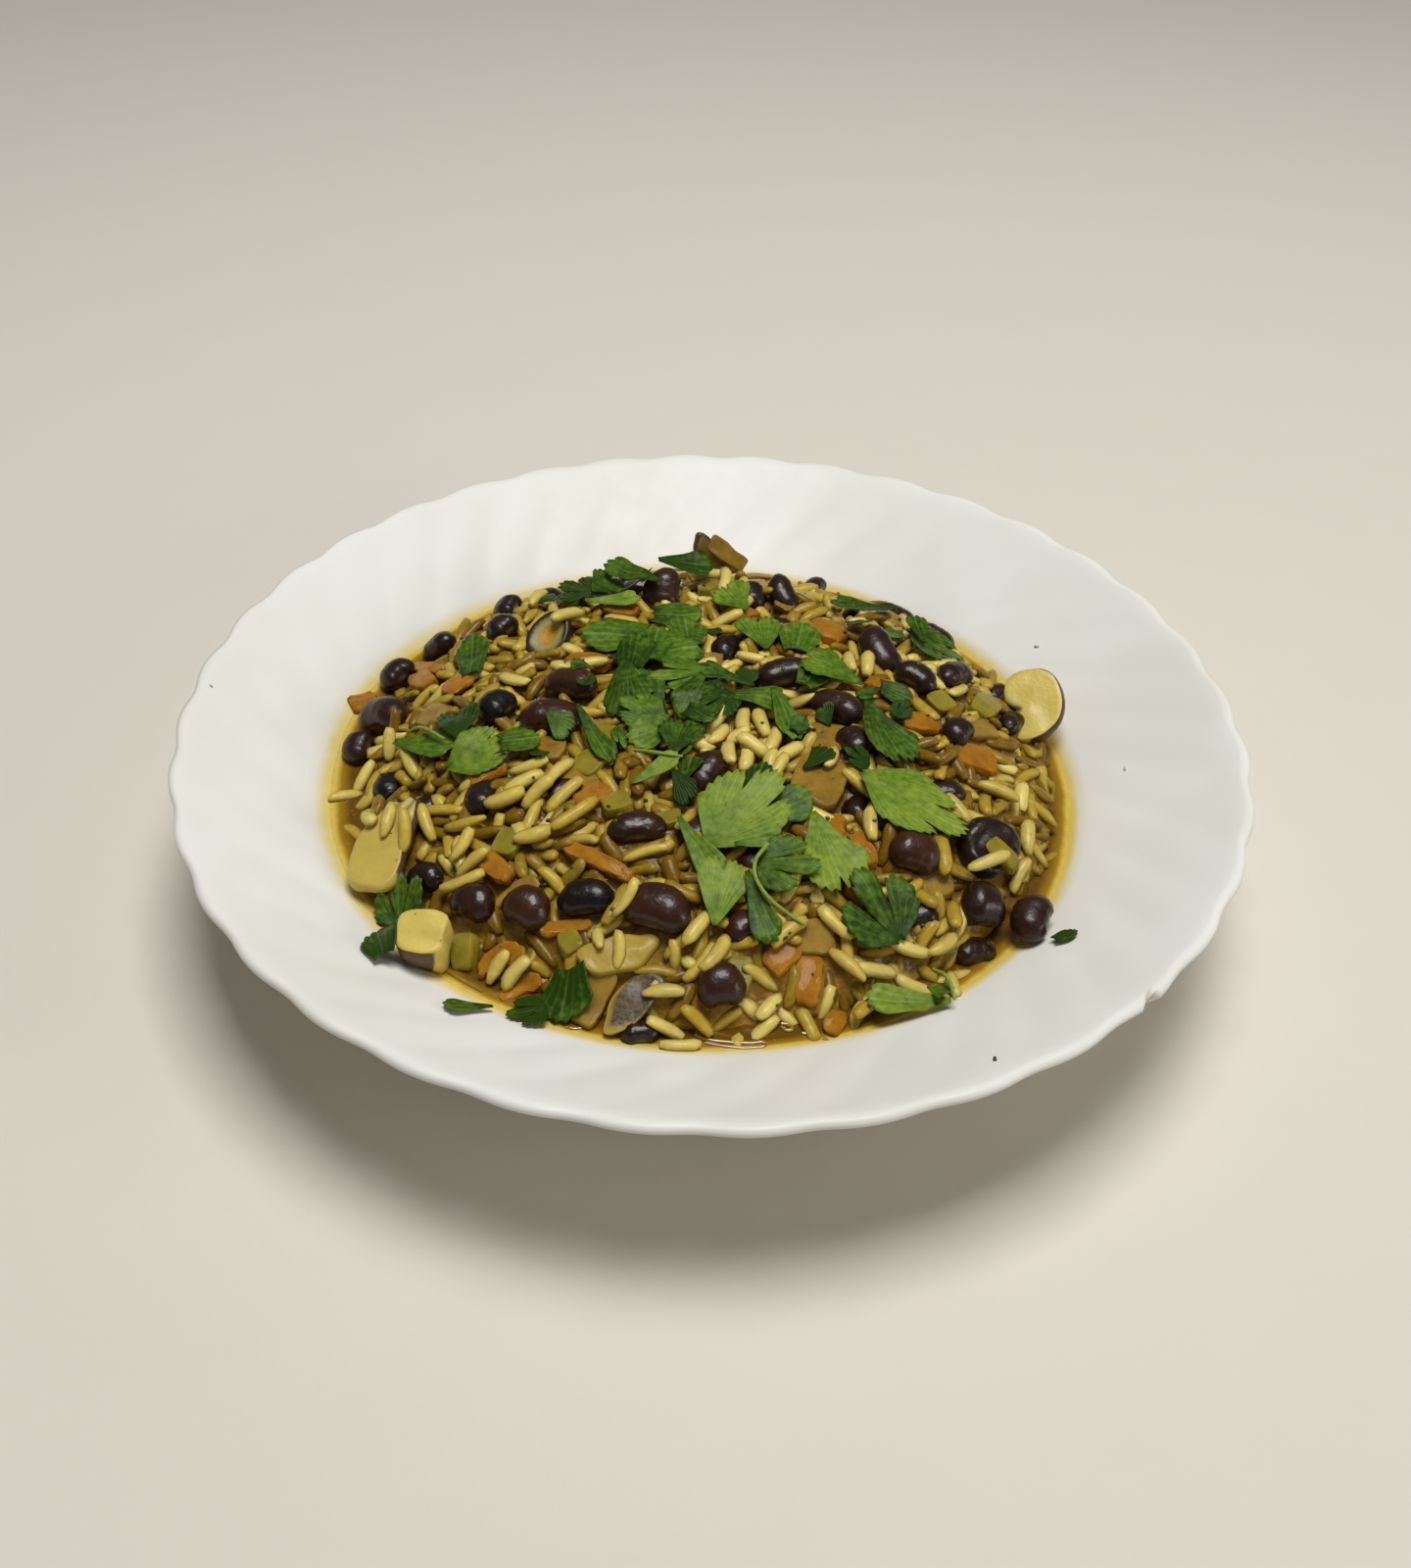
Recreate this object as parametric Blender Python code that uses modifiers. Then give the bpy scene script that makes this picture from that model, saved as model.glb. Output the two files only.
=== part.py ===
"""Rice and black beans in a thin broth, served on a round soup plate with a fluted, scalloped rim.

The plate stands on its foot ring at z = 0, centred on the origin, +Z up. Sizes are in metres.
The heap of rice stands in the well, the broth fills the ring between the heap and the wall, and
every bean, mushroom piece, carrot shred, celery cube and onion flake that is as large as a berry
sits in a pocket of its own in the heap, with CLEARANCE all round it.
"""

import math

import bmesh
import bpy
from mathutils import Matrix, Vector

MM = 0.001

# Plate: pressed opal glass
PLATE_RADIUS = 112.5 * MM  # mean radius of the scalloped edge
EDGE_HEIGHT = 35.8 * MM  # mean height of the outermost line of the rim
EDGE_THICKNESS = 2.6 * MM
PLATE_STEPS = 144
FLUTES = 36
FLUTE_RELIEF = 0.30 * MM  # how far a flute rises and falls on the rim
SCALLOP_DEPTH = 0.45 * MM  # how far a scallop stands out of and into the rim's circle
FLUTE_PHASE = math.radians(4.3)  # direction of one scallop's crest
RIM_TWIST = math.radians(16.0)  # turn of a flute between the well and the edge
WELL_RADIUS = 80.5 * MM
WELL_EDGE_HEIGHT = 19.2 * MM
FLOOR_HEIGHT = 4.6 * MM
FOOT_OUTER_RADIUS = 62.0 * MM
FOOT_INNER_RADIUS = 58.0 * MM
FOOT_RECESS = 1.8 * MM

# Food
BROTH_LEVEL = 20.2 * MM
BROTH_RADIUS = 81.0 * MM
HEAP_RADIUS = 76.0 * MM  # mean radius where the heap leaves the broth
HEAP_RISE = 16.0 * MM  # from the broth to the top of the heap
HEAP_SHAPE = 4.2  # exponent of the mound: flat on top, steeper at its edge
HEAP_STEPS = 48
CLEARANCE = 0.3 * MM

BEAN_THICKNESS = 0.80  # of the bean's width
BEAN_BEND = 0.16  # how much a bean curves, as a share of its length
BEAN_LIFT = 0.14  # height of a bean's middle over the heap, as a share of its width

# Each bean: name, x, y, yaw and pitch in degrees, then length and width in millimetres.
BEANS = (
    ("bean_front_shiny", -9.6, -57.6, -20, 6, 14.4, 9.6),
    ("bean_front_black", -23.2, -54.2, 2, 0, 12.0, 7.4),
    ("bean_front_brown", -34.4, -55.0, -30, 0, 10.4, 8.6),
    ("bean_front_wrinkled", -45.0, -52.0, -30, 0, 10.6, 7.8),
    ("bean_left_small", -55.6, -43.8, -24, 0, 9.0, 6.2),
    ("bean_middle_low", -14.4, -38.8, 8, 0, 12.6, 7.0),
    ("bean_middle_upright", -1.2, -22.8, 62, 18, 13.0, 8.4),
    ("bean_near_edge", 2.6, -70.2, 10, 0, 9.8, 8.8),
    ("bean_left_edge", -77.8, 0.8, 80, 12, 9.8, 6.8),
    ("bean_left_large", -72.6, 8.6, -30, -6, 15.4, 9.6),
    ("bean_left_black", -46.4, 0.0, 60, 0, 9.6, 8.0),
    ("bean_left_brown", -34.0, -5.6, -8, 0, 14.6, 8.6),
    ("bean_left_grey", -30.8, 5.6, -26, 4, 14.0, 8.2),
    ("bean_back_left_rim", -65.0, 38.8, -20, 10, 10.6, 7.4),
    ("bean_back_left_wrinkled", -73.4, 26.8, 40, 14, 9.8, 7.8),
    ("bean_back_left_far", -50.4, 52.8, 62, 24, 8.8, 7.2),
    ("bean_back_left_near", -49.6, 35.2, 50, 10, 8.4, 7.4),
    ("bean_back_upright", -12.4, 46.6, 84, 52, 12.4, 9.2),
    ("bean_back_pair_left", 8.6, 46.2, 98, 20, 9.4, 6.4),
    ("bean_back_pair_right", 16.2, 48.4, 118, 26, 12.4, 6.6),
    ("bean_centre_twisted", 15.2, 12.2, 12, 8, 14.4, 7.4),
    ("bean_centre_long", 26.4, 0.4, -34, 8, 14.2, 7.8),
    ("bean_centre_low", 29.6, -11.4, -66, 0, 9.6, 7.6),
    ("bean_right_long", 37.6, 24.2, 116, 24, 16.0, 8.4),
    ("bean_right_curved", 44.6, 14.4, -34, 0, 11.0, 7.2),
    ("bean_right_tail", 54.2, 20.4, 44, 0, 12.4, 6.6),
    ("bean_back_right_flat", 53.0, 45.6, -42, 0, 11.6, 6.4),
    ("bean_back_right_rim", 44.6, 58.6, -40, 0, 12.4, 6.2),
    ("bean_right_wrinkled", 52.4, -2.6, 60, 0, 8.8, 6.8),
    ("bean_right_open", 55.2, -33.4, 48, 12, 14.8, 12.0),
    ("bean_right_round", 53.4, -45.8, 10, 0, 10.2, 9.4),
    ("bean_right_edge", 63.6, -48.4, 68, 10, 11.8, 8.0),
    ("bean_right_brown", 39.8, -39.8, -6, 0, 11.6, 9.4),
)

# Each block: name, x, y, yaw in degrees, then length, width and thickness in millimetres,
# the share of its thickness that stands out of the heap, and its material.
BLOCKS = (
    ("carrot_front", -21.4, -46.8, -30, 15.6, 3.4, 2.6, 0.8, "carrot"),
    ("carrot_left", -42.2, -44.8, -44, 10.8, 4.4, 2.0, 0.9, "carrot"),
    ("carrot_left_back", -66.2, 19.6, -58, 11.0, 5.4, 2.4, 0.8, "carrot"),
    ("carrot_back", 25.4, 30.4, -30, 9.4, 7.0, 2.8, 0.8, "carrot"),
    ("carrot_right", 38.4, 8.8, -22, 11.0, 4.2, 2.2, 0.8, "carrot"),
    ("carrot_middle", 29.8, -41.0, -62, 8.4, 3.8, 2.2, 0.8, "carrot"),
    ("celery_near", -46.0, -60.0, 84, 7.4, 4.8, 3.2, 0.9, "celery"),
    ("celery_left", -25.0, -20.0, 62, 8.0, 6.0, 2.4, 0.8, "celery"),
    ("celery_back", -0.6, 53.0, 70, 14.0, 5.0, 2.6, 0.9, "celery"),
    ("celery_right", 60.4, 11.8, 62, 11.6, 6.4, 2.4, 0.9, "celery"),
    ("onion_middle", 21.6, -24.0, 72, 13.4, 11.0, 2.2, 0.9, "onion"),
    ("onion_left", -33.6, -15.0, 80, 7.4, 6.4, 2.2, 0.9, "onion"),
)

# Each slice: name, x, y and z of its middle, yaw and tilt in degrees, tilt's heading in degrees,
# then length, width and thickness in millimetres.
SLICES = (
    ("mushroom_right", 72.6, 16.4, 26.6, 78, 34, 236, 18.6, 13.6, 4.4),
    ("mushroom_left", -65.0, -35.8, 26.4, 76, 22, 205, 24.0, 12.0, 4.0),
    ("mushroom_chunk", -53.4, -61.6, 24.4, -8, 22, 240, 10.6, 9.4, 6.2),
    ("mushroom_slab", -16.4, -65.0, 27.0, 14, 18, 262, 16.6, 7.6, 2.8),
    ("mushroom_gills", -13.6, -72.4, 22.6, 40, 30, 256, 13.0, 5.8, 3.0),
    ("bean_half", -37.6, 27.2, 34.6, 62, 30, 250, 13.4, 9.6, 4.2),
)

COLOURS = {
    "opal_glass": ((0.86, 0.85, 0.80, 1.0), 0.10),
    "rice": ((0.62, 0.50, 0.20, 1.0), 0.30),
    "broth": ((0.36, 0.20, 0.03, 1.0), 0.08),
    "bean": ((0.022, 0.010, 0.007, 1.0), 0.22),
    "mushroom": ((0.66, 0.52, 0.20, 1.0), 0.35),
    "carrot": ((0.60, 0.20, 0.02, 1.0), 0.28),
    "celery": ((0.34, 0.30, 0.04, 1.0), 0.25),
    "onion": ((0.46, 0.32, 0.10, 1.0), 0.22),
}


def clear_scene():
    for obj in list(bpy.data.objects):
        bpy.data.objects.remove(obj, do_unlink=True)


def new_collection(name, hidden=False):
    collection = bpy.data.collections.new(name)
    bpy.context.scene.collection.children.link(collection)
    collection.hide_render = hidden
    return collection


def new_material(name):
    colour, roughness = COLOURS[name]
    material = bpy.data.materials.new(name)
    material.use_nodes = True
    shader = material.node_tree.nodes["Principled BSDF"]
    shader.inputs["Base Color"].default_value = colour
    shader.inputs["Roughness"].default_value = roughness
    shader.inputs["Metallic"].default_value = 0.0
    material.diffuse_color = colour
    return material


def turned(name, profile, steps, collection, material):
    """The solid turned from a profile, a list of (radius, height) that runs down its outer side."""
    mesh = bpy.data.meshes.new(name + "_profile")
    points = [(radius, 0.0, height) for radius, height in profile]
    edges = [(i, i + 1) for i in range(len(points) - 1)]
    if profile[0][0] > 0:
        edges.append((len(points) - 1, 0))
    mesh.from_pydata(points, edges, [])
    spun = bpy.data.objects.new(name + "_spun", mesh)
    bpy.context.scene.collection.objects.link(spun)
    screw = spun.modifiers.new("Turn", "SCREW")
    screw.angle = 2 * math.pi
    screw.steps = steps
    screw.render_steps = steps
    screw.use_merge_vertices = True
    screw.merge_threshold = 0.00005
    graph = bpy.context.evaluated_depsgraph_get()
    solid_mesh = bpy.data.meshes.new_from_object(spun.evaluated_get(graph))
    bpy.data.objects.remove(spun, do_unlink=True)
    bpy.data.meshes.remove(mesh)
    body = bmesh.new()
    body.from_mesh(solid_mesh)
    bmesh.ops.remove_doubles(body, verts=body.verts, dist=0.00002)
    bmesh.ops.recalc_face_normals(body, faces=body.faces)
    body.to_mesh(solid_mesh)
    body.free()
    solid_mesh.name = name
    solid = bpy.data.objects.new(name, solid_mesh)
    solid.data.materials.append(material)
    collection.objects.link(solid)
    return solid


UPPER_SIDE = [
    (0.0, FLOOR_HEIGHT),
    (50.0 * MM, FLOOR_HEIGHT),
    (68.0 * MM, 7.6 * MM),
    (75.0 * MM, 13.7 * MM),
    (WELL_RADIUS, WELL_EDGE_HEIGHT),
    (95.0 * MM, 27.2 * MM),
    (PLATE_RADIUS - 1.6 * MM, EDGE_HEIGHT + 0.8 * MM),
]


def plate_profile():
    """Half section of the plate, from the middle of its floor over the rim to the foot."""
    return UPPER_SIDE + [
        (PLATE_RADIUS, EDGE_HEIGHT),
        (PLATE_RADIUS - 1.2 * MM, EDGE_HEIGHT + 0.8 * MM - EDGE_THICKNESS),
        (95.0 * MM, 23.4 * MM),
        (80.0 * MM, 12.4 * MM),
        (67.0 * MM, 3.6 * MM),
        (FOOT_OUTER_RADIUS, 0.0),
        (FOOT_INNER_RADIUS, 0.0),
        (FOOT_INNER_RADIUS - 1.0 * MM, FOOT_RECESS),
        (0.0, FOOT_RECESS),
    ]


def flute(x, y, z):
    """Where a point of the turned rim moves to: along its swirl, and in or out with its flute."""
    radius = math.hypot(x, y)
    outward = (radius - WELL_RADIUS) / (PLATE_RADIUS - WELL_RADIUS)
    if outward < 0.1:
        return x, y, z
    around = math.atan2(y, x)
    wave = math.cos(FLUTES * (around - FLUTE_PHASE))
    radius += SCALLOP_DEPTH * wave * outward**3
    turned_to = around + RIM_TWIST * (1.0 - outward)
    lift = FLUTE_RELIEF * wave * min(1.0, outward * 1.4)
    return radius * math.cos(turned_to), radius * math.sin(turned_to), z + lift


def halve_steps(mesh, radius):
    """Leave half the steps inside a radius, where the plate is plain."""
    body = bmesh.new()
    body.from_mesh(mesh)
    step = 2 * math.pi / PLATE_STEPS
    kept = {}
    moved = {}
    for vertex in body.verts:
        if 1.0 * MM < math.hypot(vertex.co.x, vertex.co.y) < radius:
            turn = round(math.atan2(vertex.co.y, vertex.co.x) / step) % PLATE_STEPS
            ring = (round(math.hypot(vertex.co.x, vertex.co.y), 5), round(vertex.co.z, 5))
            if turn % 2:
                moved[vertex] = (ring, turn - 1)
            else:
                kept[(ring, turn)] = vertex
    bmesh.ops.weld_verts(body, targetmap={vertex: kept[place] for vertex, place in moved.items()})
    body.to_mesh(mesh)
    body.free()


def build_plate(collection):
    plate = turned("plate", plate_profile(), PLATE_STEPS, collection, new_material("opal_glass"))
    halve_steps(plate.data, WELL_RADIUS + 1.0 * MM)
    for vertex in plate.data.vertices:
        vertex.co = flute(*vertex.co)
    plate.data.shade_smooth()
    plate.data.set_sharp_from_angle(angle=math.radians(40))


def outline(around):
    """The heap's radius in a direction, as a share of its mean radius."""
    lean = 0.022 * math.cos(around - math.radians(165))
    lobes = 0.008 * math.sin(3 * around + 0.8) + 0.005 * math.sin(7 * around)
    return 1.0 + lean + lobes


def relief(x, y):
    """Low bumps over the heap, in metres."""
    u, v = x / MM, y / MM
    waves = math.sin(0.21 * u + 1.1) * math.cos(0.17 * v) + 0.7 * math.sin(0.13 * u - 0.24 * v)
    return 0.55 * MM * waves


def heap_height(x, y):
    share = min(1.0, math.hypot(x, y) / (HEAP_RADIUS * outline(math.atan2(y, x))))
    return BROTH_LEVEL + HEAP_RISE * (1.0 - share**HEAP_SHAPE) + relief(x, y) * (1.0 - share**4)


def heap_normal(x, y):
    step = 1.5 * MM
    slope_x = (heap_height(x + step, y) - heap_height(x - step, y)) / (2 * step)
    slope_y = (heap_height(x, y + step) - heap_height(x, y - step)) / (2 * step)
    return Vector((-slope_x, -slope_y, 1.0)).normalized()


def build_heap(collection):
    top = [(HEAP_RADIUS * share, BROTH_LEVEL) for share in (0.0, 0.26, 0.48, 0.66, 0.80, 0.91, 1.0)]
    side = [(72.6 * MM, 12.6 * MM), (67.0 * MM, 8.0 * MM)]
    floor = [(50.0 * MM, FLOOR_HEIGHT + 0.4 * MM), (0.0, FLOOR_HEIGHT + 0.4 * MM)]
    heap = turned("rice_heap", top + side + floor, HEAP_STEPS, collection, new_material("rice"))
    for vertex in heap.data.vertices:
        x, y, z = vertex.co
        if z < BROTH_LEVEL - 1.0 * MM:
            continue
        swell = outline(math.atan2(y, x))
        x, y = x * swell, y * swell
        vertex.co = (x, y, heap_height(x, y) + 0.2 * MM)
    return heap


def build_broth(collection):
    """The ring of broth between the heap and the wall of the well."""
    inner = HEAP_RADIUS + 0.5 * MM
    ring = [
        (inner, BROTH_LEVEL),
        (BROTH_RADIUS, BROTH_LEVEL),
        (80.0 * MM, 19.25 * MM),
        (74.4 * MM, 13.85 * MM),
        (73.2 * MM, 12.75 * MM),
    ]
    broth = turned("broth", ring, HEAP_STEPS, collection, new_material("broth"))
    for vertex in broth.data.vertices:
        x, y, z = vertex.co
        if math.hypot(x, y) < inner + 0.1 * MM and z > BROTH_LEVEL - 0.1 * MM:
            swell = outline(math.atan2(y, x))
            vertex.co = (x * swell, y * swell, z)
    return broth


def on_heap(x, y, yaw, pitch, lift):
    """The frame of a piece that lies on the heap: its place, heading, nose-up pitch and slope."""
    upright = heap_normal(x, y)
    place = Vector((x, y, heap_height(x, y))) + upright * lift
    lean = Vector((0.0, 0.0, 1.0)).rotation_difference(upright).to_matrix().to_4x4()
    heading = Matrix.Rotation(math.radians(yaw), 4, "Z")
    return Matrix.Translation(place) @ lean @ heading @ Matrix.Rotation(math.radians(-pitch), 4, "Y")


def tilted(x, y, z, yaw, tilt, heading):
    """The frame of a piece that leans, its top face towards the heading, by the tilt."""
    axis = Matrix.Rotation(math.radians(heading + 90), 4, "Z") @ Vector((1.0, 0.0, 0.0))
    lean = Matrix.Rotation(math.radians(tilt), 4, axis)
    return Matrix.Translation((x, y, z)) @ lean @ Matrix.Rotation(math.radians(yaw), 4, "Z")


def bean_mesh(name, length, width, grow):
    """A kidney-bent bean. It lies along X and bows towards +Y."""
    body = bmesh.new()
    bmesh.ops.create_icosphere(body, subdivisions=2, radius=1.0)
    half = (length / 2 + grow, width / 2 + grow, width * BEAN_THICKNESS / 2 + grow)
    for vertex in body.verts:
        x, y, z = vertex.co
        bow = BEAN_BEND * length / 2 * (0.4 - x * x)
        vertex.co = (half[0] * x, half[1] * y + bow, half[2] * z)
    mesh = bpy.data.meshes.new(name)
    body.to_mesh(mesh)
    body.free()
    mesh.shade_smooth()
    return mesh


def block_mesh(name, length, width, thickness, grow):
    """A cut piece with clipped corners, bowed along its length so that it lies on the heap."""
    body = bmesh.new()
    bmesh.ops.create_cube(body, size=1.0)
    across = [edge for edge in body.edges if abs(edge.verts[0].co.x - edge.verts[1].co.x) > 0.5]
    bmesh.ops.subdivide_edges(body, edges=across, cuts=2)
    for vertex in body.verts:
        x, y, z = vertex.co
        taper = 1.0 - 0.30 * (2 * abs(x)) ** 3
        vertex.co = (
            x * (length + 2 * grow),
            y * (width + 2 * grow) * taper,
            z * (thickness + 2 * grow) - thickness * x * x,
        )
    mesh = bpy.data.meshes.new(name)
    body.to_mesh(mesh)
    body.free()
    return mesh


def slice_mesh(name, length, width, thickness, grow):
    """A flat slice with an egg-shaped outline, wider towards +X, and sides that lean in."""
    body = bmesh.new()
    bmesh.ops.create_cone(body, cap_ends=True, segments=14, radius1=1.0, radius2=0.90, depth=1.0)
    for vertex in body.verts:
        x, y, z = vertex.co
        widening = 1.0 + 0.16 * x
        vertex.co = (
            x * (length / 2 + grow),
            y * (width / 2 + grow) * widening,
            z * (thickness + 2 * grow),
        )
    mesh = bpy.data.meshes.new(name)
    body.to_mesh(mesh)
    body.free()
    return mesh


def upper_side_height(radius):
    """Height of the plate's upper side at a radius."""
    for (inner, low), (outer, high) in zip(UPPER_SIDE, UPPER_SIDE[1:]):
        if radius <= outer:
            return low + (high - low) * (radius - inner) / (outer - inner)
    return UPPER_SIDE[-1][1]


def rested(place, mesh):
    """The piece's frame, raised until no point of it is nearer the plate than the clearance."""
    rise = 0.0
    for vertex in mesh.vertices:
        point = place @ vertex.co
        ground = upper_side_height(math.hypot(point.x, point.y))
        rise = max(rise, ground + FLUTE_RELIEF + CLEARANCE - point.z)
    return Matrix.Translation((0.0, 0.0, rise)) @ place


def add_topping(shape, name, size, place, food, pockets, material):
    """One topping, and the cutter of its pocket: the same shape, grown by the clearance."""
    mesh = shape(name, *size, 0.0)
    mesh.materials.append(material)
    place = rested(place, mesh)
    topping = bpy.data.objects.new(name, mesh)
    topping.matrix_world = place
    food.objects.link(topping)
    cutter = bpy.data.objects.new(name + "_pocket", shape(name + "_pocket", *size, CLEARANCE))
    cutter.matrix_world = place
    cutter.hide_render = True
    cutter.display_type = "WIRE"
    pockets.objects.link(cutter)


def build_toppings(food, pockets):
    materials = {name: new_material(name) for name in ("bean", "mushroom", "carrot", "celery", "onion")}
    for name, x, y, yaw, pitch, length, width in BEANS:
        place = on_heap(x * MM, y * MM, yaw, pitch, BEAN_LIFT * width * MM)
        size = (length * MM, width * MM)
        add_topping(bean_mesh, name, size, place, food, pockets, materials["bean"])
    for name, x, y, yaw, length, width, thickness, shown, kind in BLOCKS:
        place = on_heap(x * MM, y * MM, yaw, 0.0, (shown - 0.5) * thickness * MM)
        size = (length * MM, width * MM, thickness * MM)
        add_topping(block_mesh, name, size, place, food, pockets, materials[kind])
    for name, x, y, z, yaw, tilt, heading, length, width, thickness in SLICES:
        place = tilted(x * MM, y * MM, z * MM, yaw, tilt, heading)
        size = (length * MM, width * MM, thickness * MM)
        kind = "bean" if name == "bean_half" else "mushroom"
        add_topping(slice_mesh, name, size, place, food, pockets, materials[kind])


def cut_pockets(solid, pockets):
    cut = solid.modifiers.new("Pockets", "BOOLEAN")
    cut.operation = "DIFFERENCE"
    cut.operand_type = "COLLECTION"
    cut.collection = pockets
    cut.solver = "EXACT"


def main():
    clear_scene()
    food = new_collection("rice_and_beans_plate")
    pockets = new_collection("pocket_cutters", hidden=True)
    build_plate(food)
    heap = build_heap(food)
    broth = build_broth(food)
    build_toppings(food, pockets)
    cut_pockets(heap, pockets)
    cut_pockets(broth, pockets)


main()
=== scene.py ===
"""Rice and black beans in a thin broth on a fluted soup plate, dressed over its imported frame.

Each operator makes one piece or a group of like pieces. The pieces stand in the frame's own
space, in metres, with the plate's foot at z = 0.
"""

import math

import bmesh
import bpy
import numpy as np
from bpy.props import FloatProperty, FloatVectorProperty, IntProperty, PointerProperty
from mathutils import Matrix, Vector, noise
from mathutils.bvhtree import BVHTree


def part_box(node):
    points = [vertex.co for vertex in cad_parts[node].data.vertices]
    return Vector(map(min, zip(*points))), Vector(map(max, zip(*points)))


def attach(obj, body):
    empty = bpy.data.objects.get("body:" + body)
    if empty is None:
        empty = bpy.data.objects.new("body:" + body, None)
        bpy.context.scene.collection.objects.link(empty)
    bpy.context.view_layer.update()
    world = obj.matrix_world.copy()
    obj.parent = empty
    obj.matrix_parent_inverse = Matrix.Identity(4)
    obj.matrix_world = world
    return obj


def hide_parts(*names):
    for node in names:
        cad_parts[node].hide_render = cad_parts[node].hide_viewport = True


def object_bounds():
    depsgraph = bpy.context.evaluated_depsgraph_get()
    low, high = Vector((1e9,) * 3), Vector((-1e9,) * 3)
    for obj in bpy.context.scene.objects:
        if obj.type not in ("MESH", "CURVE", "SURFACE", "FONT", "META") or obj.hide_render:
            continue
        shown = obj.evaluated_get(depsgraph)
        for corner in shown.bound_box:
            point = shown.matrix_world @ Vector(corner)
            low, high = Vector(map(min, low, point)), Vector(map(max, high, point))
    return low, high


bl_info = {
    "name": "Rice and beans plate",
    "version": (1, 0, 0),
    "blender": (4, 5, 0),
    "location": "View3D > Sidebar > Meal",
    "description": "Dresses the rice and beans plate: plate, broth, rice and what lies on them",
    "category": "Object",
}

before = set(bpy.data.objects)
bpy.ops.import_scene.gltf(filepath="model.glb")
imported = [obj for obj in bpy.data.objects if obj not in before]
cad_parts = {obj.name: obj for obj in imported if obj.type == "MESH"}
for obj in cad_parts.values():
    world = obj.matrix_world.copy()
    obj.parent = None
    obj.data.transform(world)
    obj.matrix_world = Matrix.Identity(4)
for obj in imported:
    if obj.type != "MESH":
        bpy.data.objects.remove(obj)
FRAME_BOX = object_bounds()

MM = 0.001


# ---------------------------------------------------------------- sizes that the frame gives


PLATE_RADIUS = 112.5 * MM  # mean radius of the scalloped edge
WELL_RADIUS = 80.5 * MM
BROTH_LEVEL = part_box("broth")[1].z
HEAP_RADIUS = 76.0 * MM
HEAP_RISE = 16.0 * MM
HEAP_SHAPE = 4.2  # the higher, the flatter the heap's top and the steeper its sides
TOP = FRAME_BOX[1][2]


def section(*places):
    """A line of (radius, height) given in millimetres."""
    return tuple((radius * MM, height * MM) for radius, height in places)


# The plate from the middle of its floor to its lip, and underneath back to the middle.
UPPER_SIDE = section(
    (0, 4.6), (50, 4.6), (60, 5.4), (68, 7.9), (72, 10.7), (75, 13.7), (78, 17), (80.5, 19.2),
    (84, 21.2), (95, 27.2), (104, 32.5), (110.2, 36.2), (111.4, 36.6),
)
LOWER_SIDE = section(
    (112.4, 36.1), (112.5, 35.3), (111.5, 34.2), (104, 29.4), (95, 23.4), (87, 17.7), (80, 12.4),
    (73, 7.4), (67, 3.6), (63.2, 0.9), (61.4, 0), (58.6, 0), (57.6, 0.5), (57, 1.8), (30, 1.8),
    (0, 1.8),
)


# ---------------------------------------------------------------- colours and sizes to change


def tint(red, green, blue):
    """A linear colour from the 0 to 255 values that a paint chart gives."""
    shares = [value / 255 for value in (red, green, blue)]
    return tuple(s / 12.92 if s <= 0.04045 else ((s + 0.055) / 1.055) ** 2.4 for s in shares)


def colour(name, description, red, green, blue):
    return FloatVectorProperty(
        name=name,
        description=description,
        subtype="COLOR",
        size=3,
        min=0.0,
        max=1.0,
        default=tint(red, green, blue),
    )


def length(name, description, millimetres):
    return FloatProperty(
        name=name, description=description, subtype="DISTANCE", default=millimetres * MM
    )


def angle(name, description, degrees):
    return FloatProperty(
        name=name, description=description, subtype="ANGLE", default=math.radians(degrees)
    )


class PlateSettings(bpy.types.PropertyGroup):
    flutes: IntProperty(
        name="Flutes", description="Number of flutes and scallops round the rim", default=36, min=3
    )
    scallop_depth: length("Scallop depth", "How far a scallop stands out of the rim's circle", 0.45)
    flute_relief: length("Flute relief", "How far a flute rises and falls on the rim", 0.20)
    flute_turn: angle("Swirl", "Turn of a flute from the edge to the well", 16.0)
    flute_phase: angle("First scallop", "Direction of one scallop's crest", 4.3)
    glass: colour("Opal glass", "Colour of the pressed opal glass", 240, 239, 233)
    glass_shade: colour(
        "Opal glass, thick", "Colour of the glass where it is thicker", 234, 232, 223
    )


class BrothSettings(bpy.types.PropertyGroup):
    meniscus: length("Meniscus", "How far the broth climbs the glass", 0.35)
    deep: colour("Deep broth", "Colour of the broth where it is deep", 98, 68, 10)
    shallow: colour("Shallow broth", "Colour of the broth over the wall of the well", 156, 120, 24)
    stain: colour("Broth edge", "Colour of the thin film at the broth's edge", 220, 192, 88)


class RiceSettings(bpy.types.PropertyGroup):
    grain_length: length("Grain length", "Mean length of a cooked grain", 9.4)
    grain_width: length("Grain width", "Mean width of a cooked grain", 3.15)
    core_drop: length("Core drop", "Depth under the top of the heap at which the grains start", 3.4)
    seed: IntProperty(name="Seed", description="Changes how the grains fall", default=7, min=0)
    pale: colour("Pale grain", "Colour of a grain that stays above the broth", 240, 221, 124)
    cream: colour("Cream grain", "Colour of most grains", 200, 171, 62)
    soaked: colour("Soaked grain", "Colour of a grain that has taken up broth", 124, 92, 18)
    sauce: colour("Sauce", "Colour of the thick sauce between the grains", 108, 74, 10)


class BeanSettings(bpy.types.PropertyGroup):
    wrinkle: length("Wrinkle", "Depth of a wrinkled skin's folds", 0.28)
    black: colour("Black skin", "Colour of the darkest skins", 18, 11, 7)
    brown: colour("Brown skin", "Colour of the brownest skins", 66, 34, 14)
    scar: colour("Seed scar", "Colour of the scar on a bean's side", 120, 96, 76)


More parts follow.
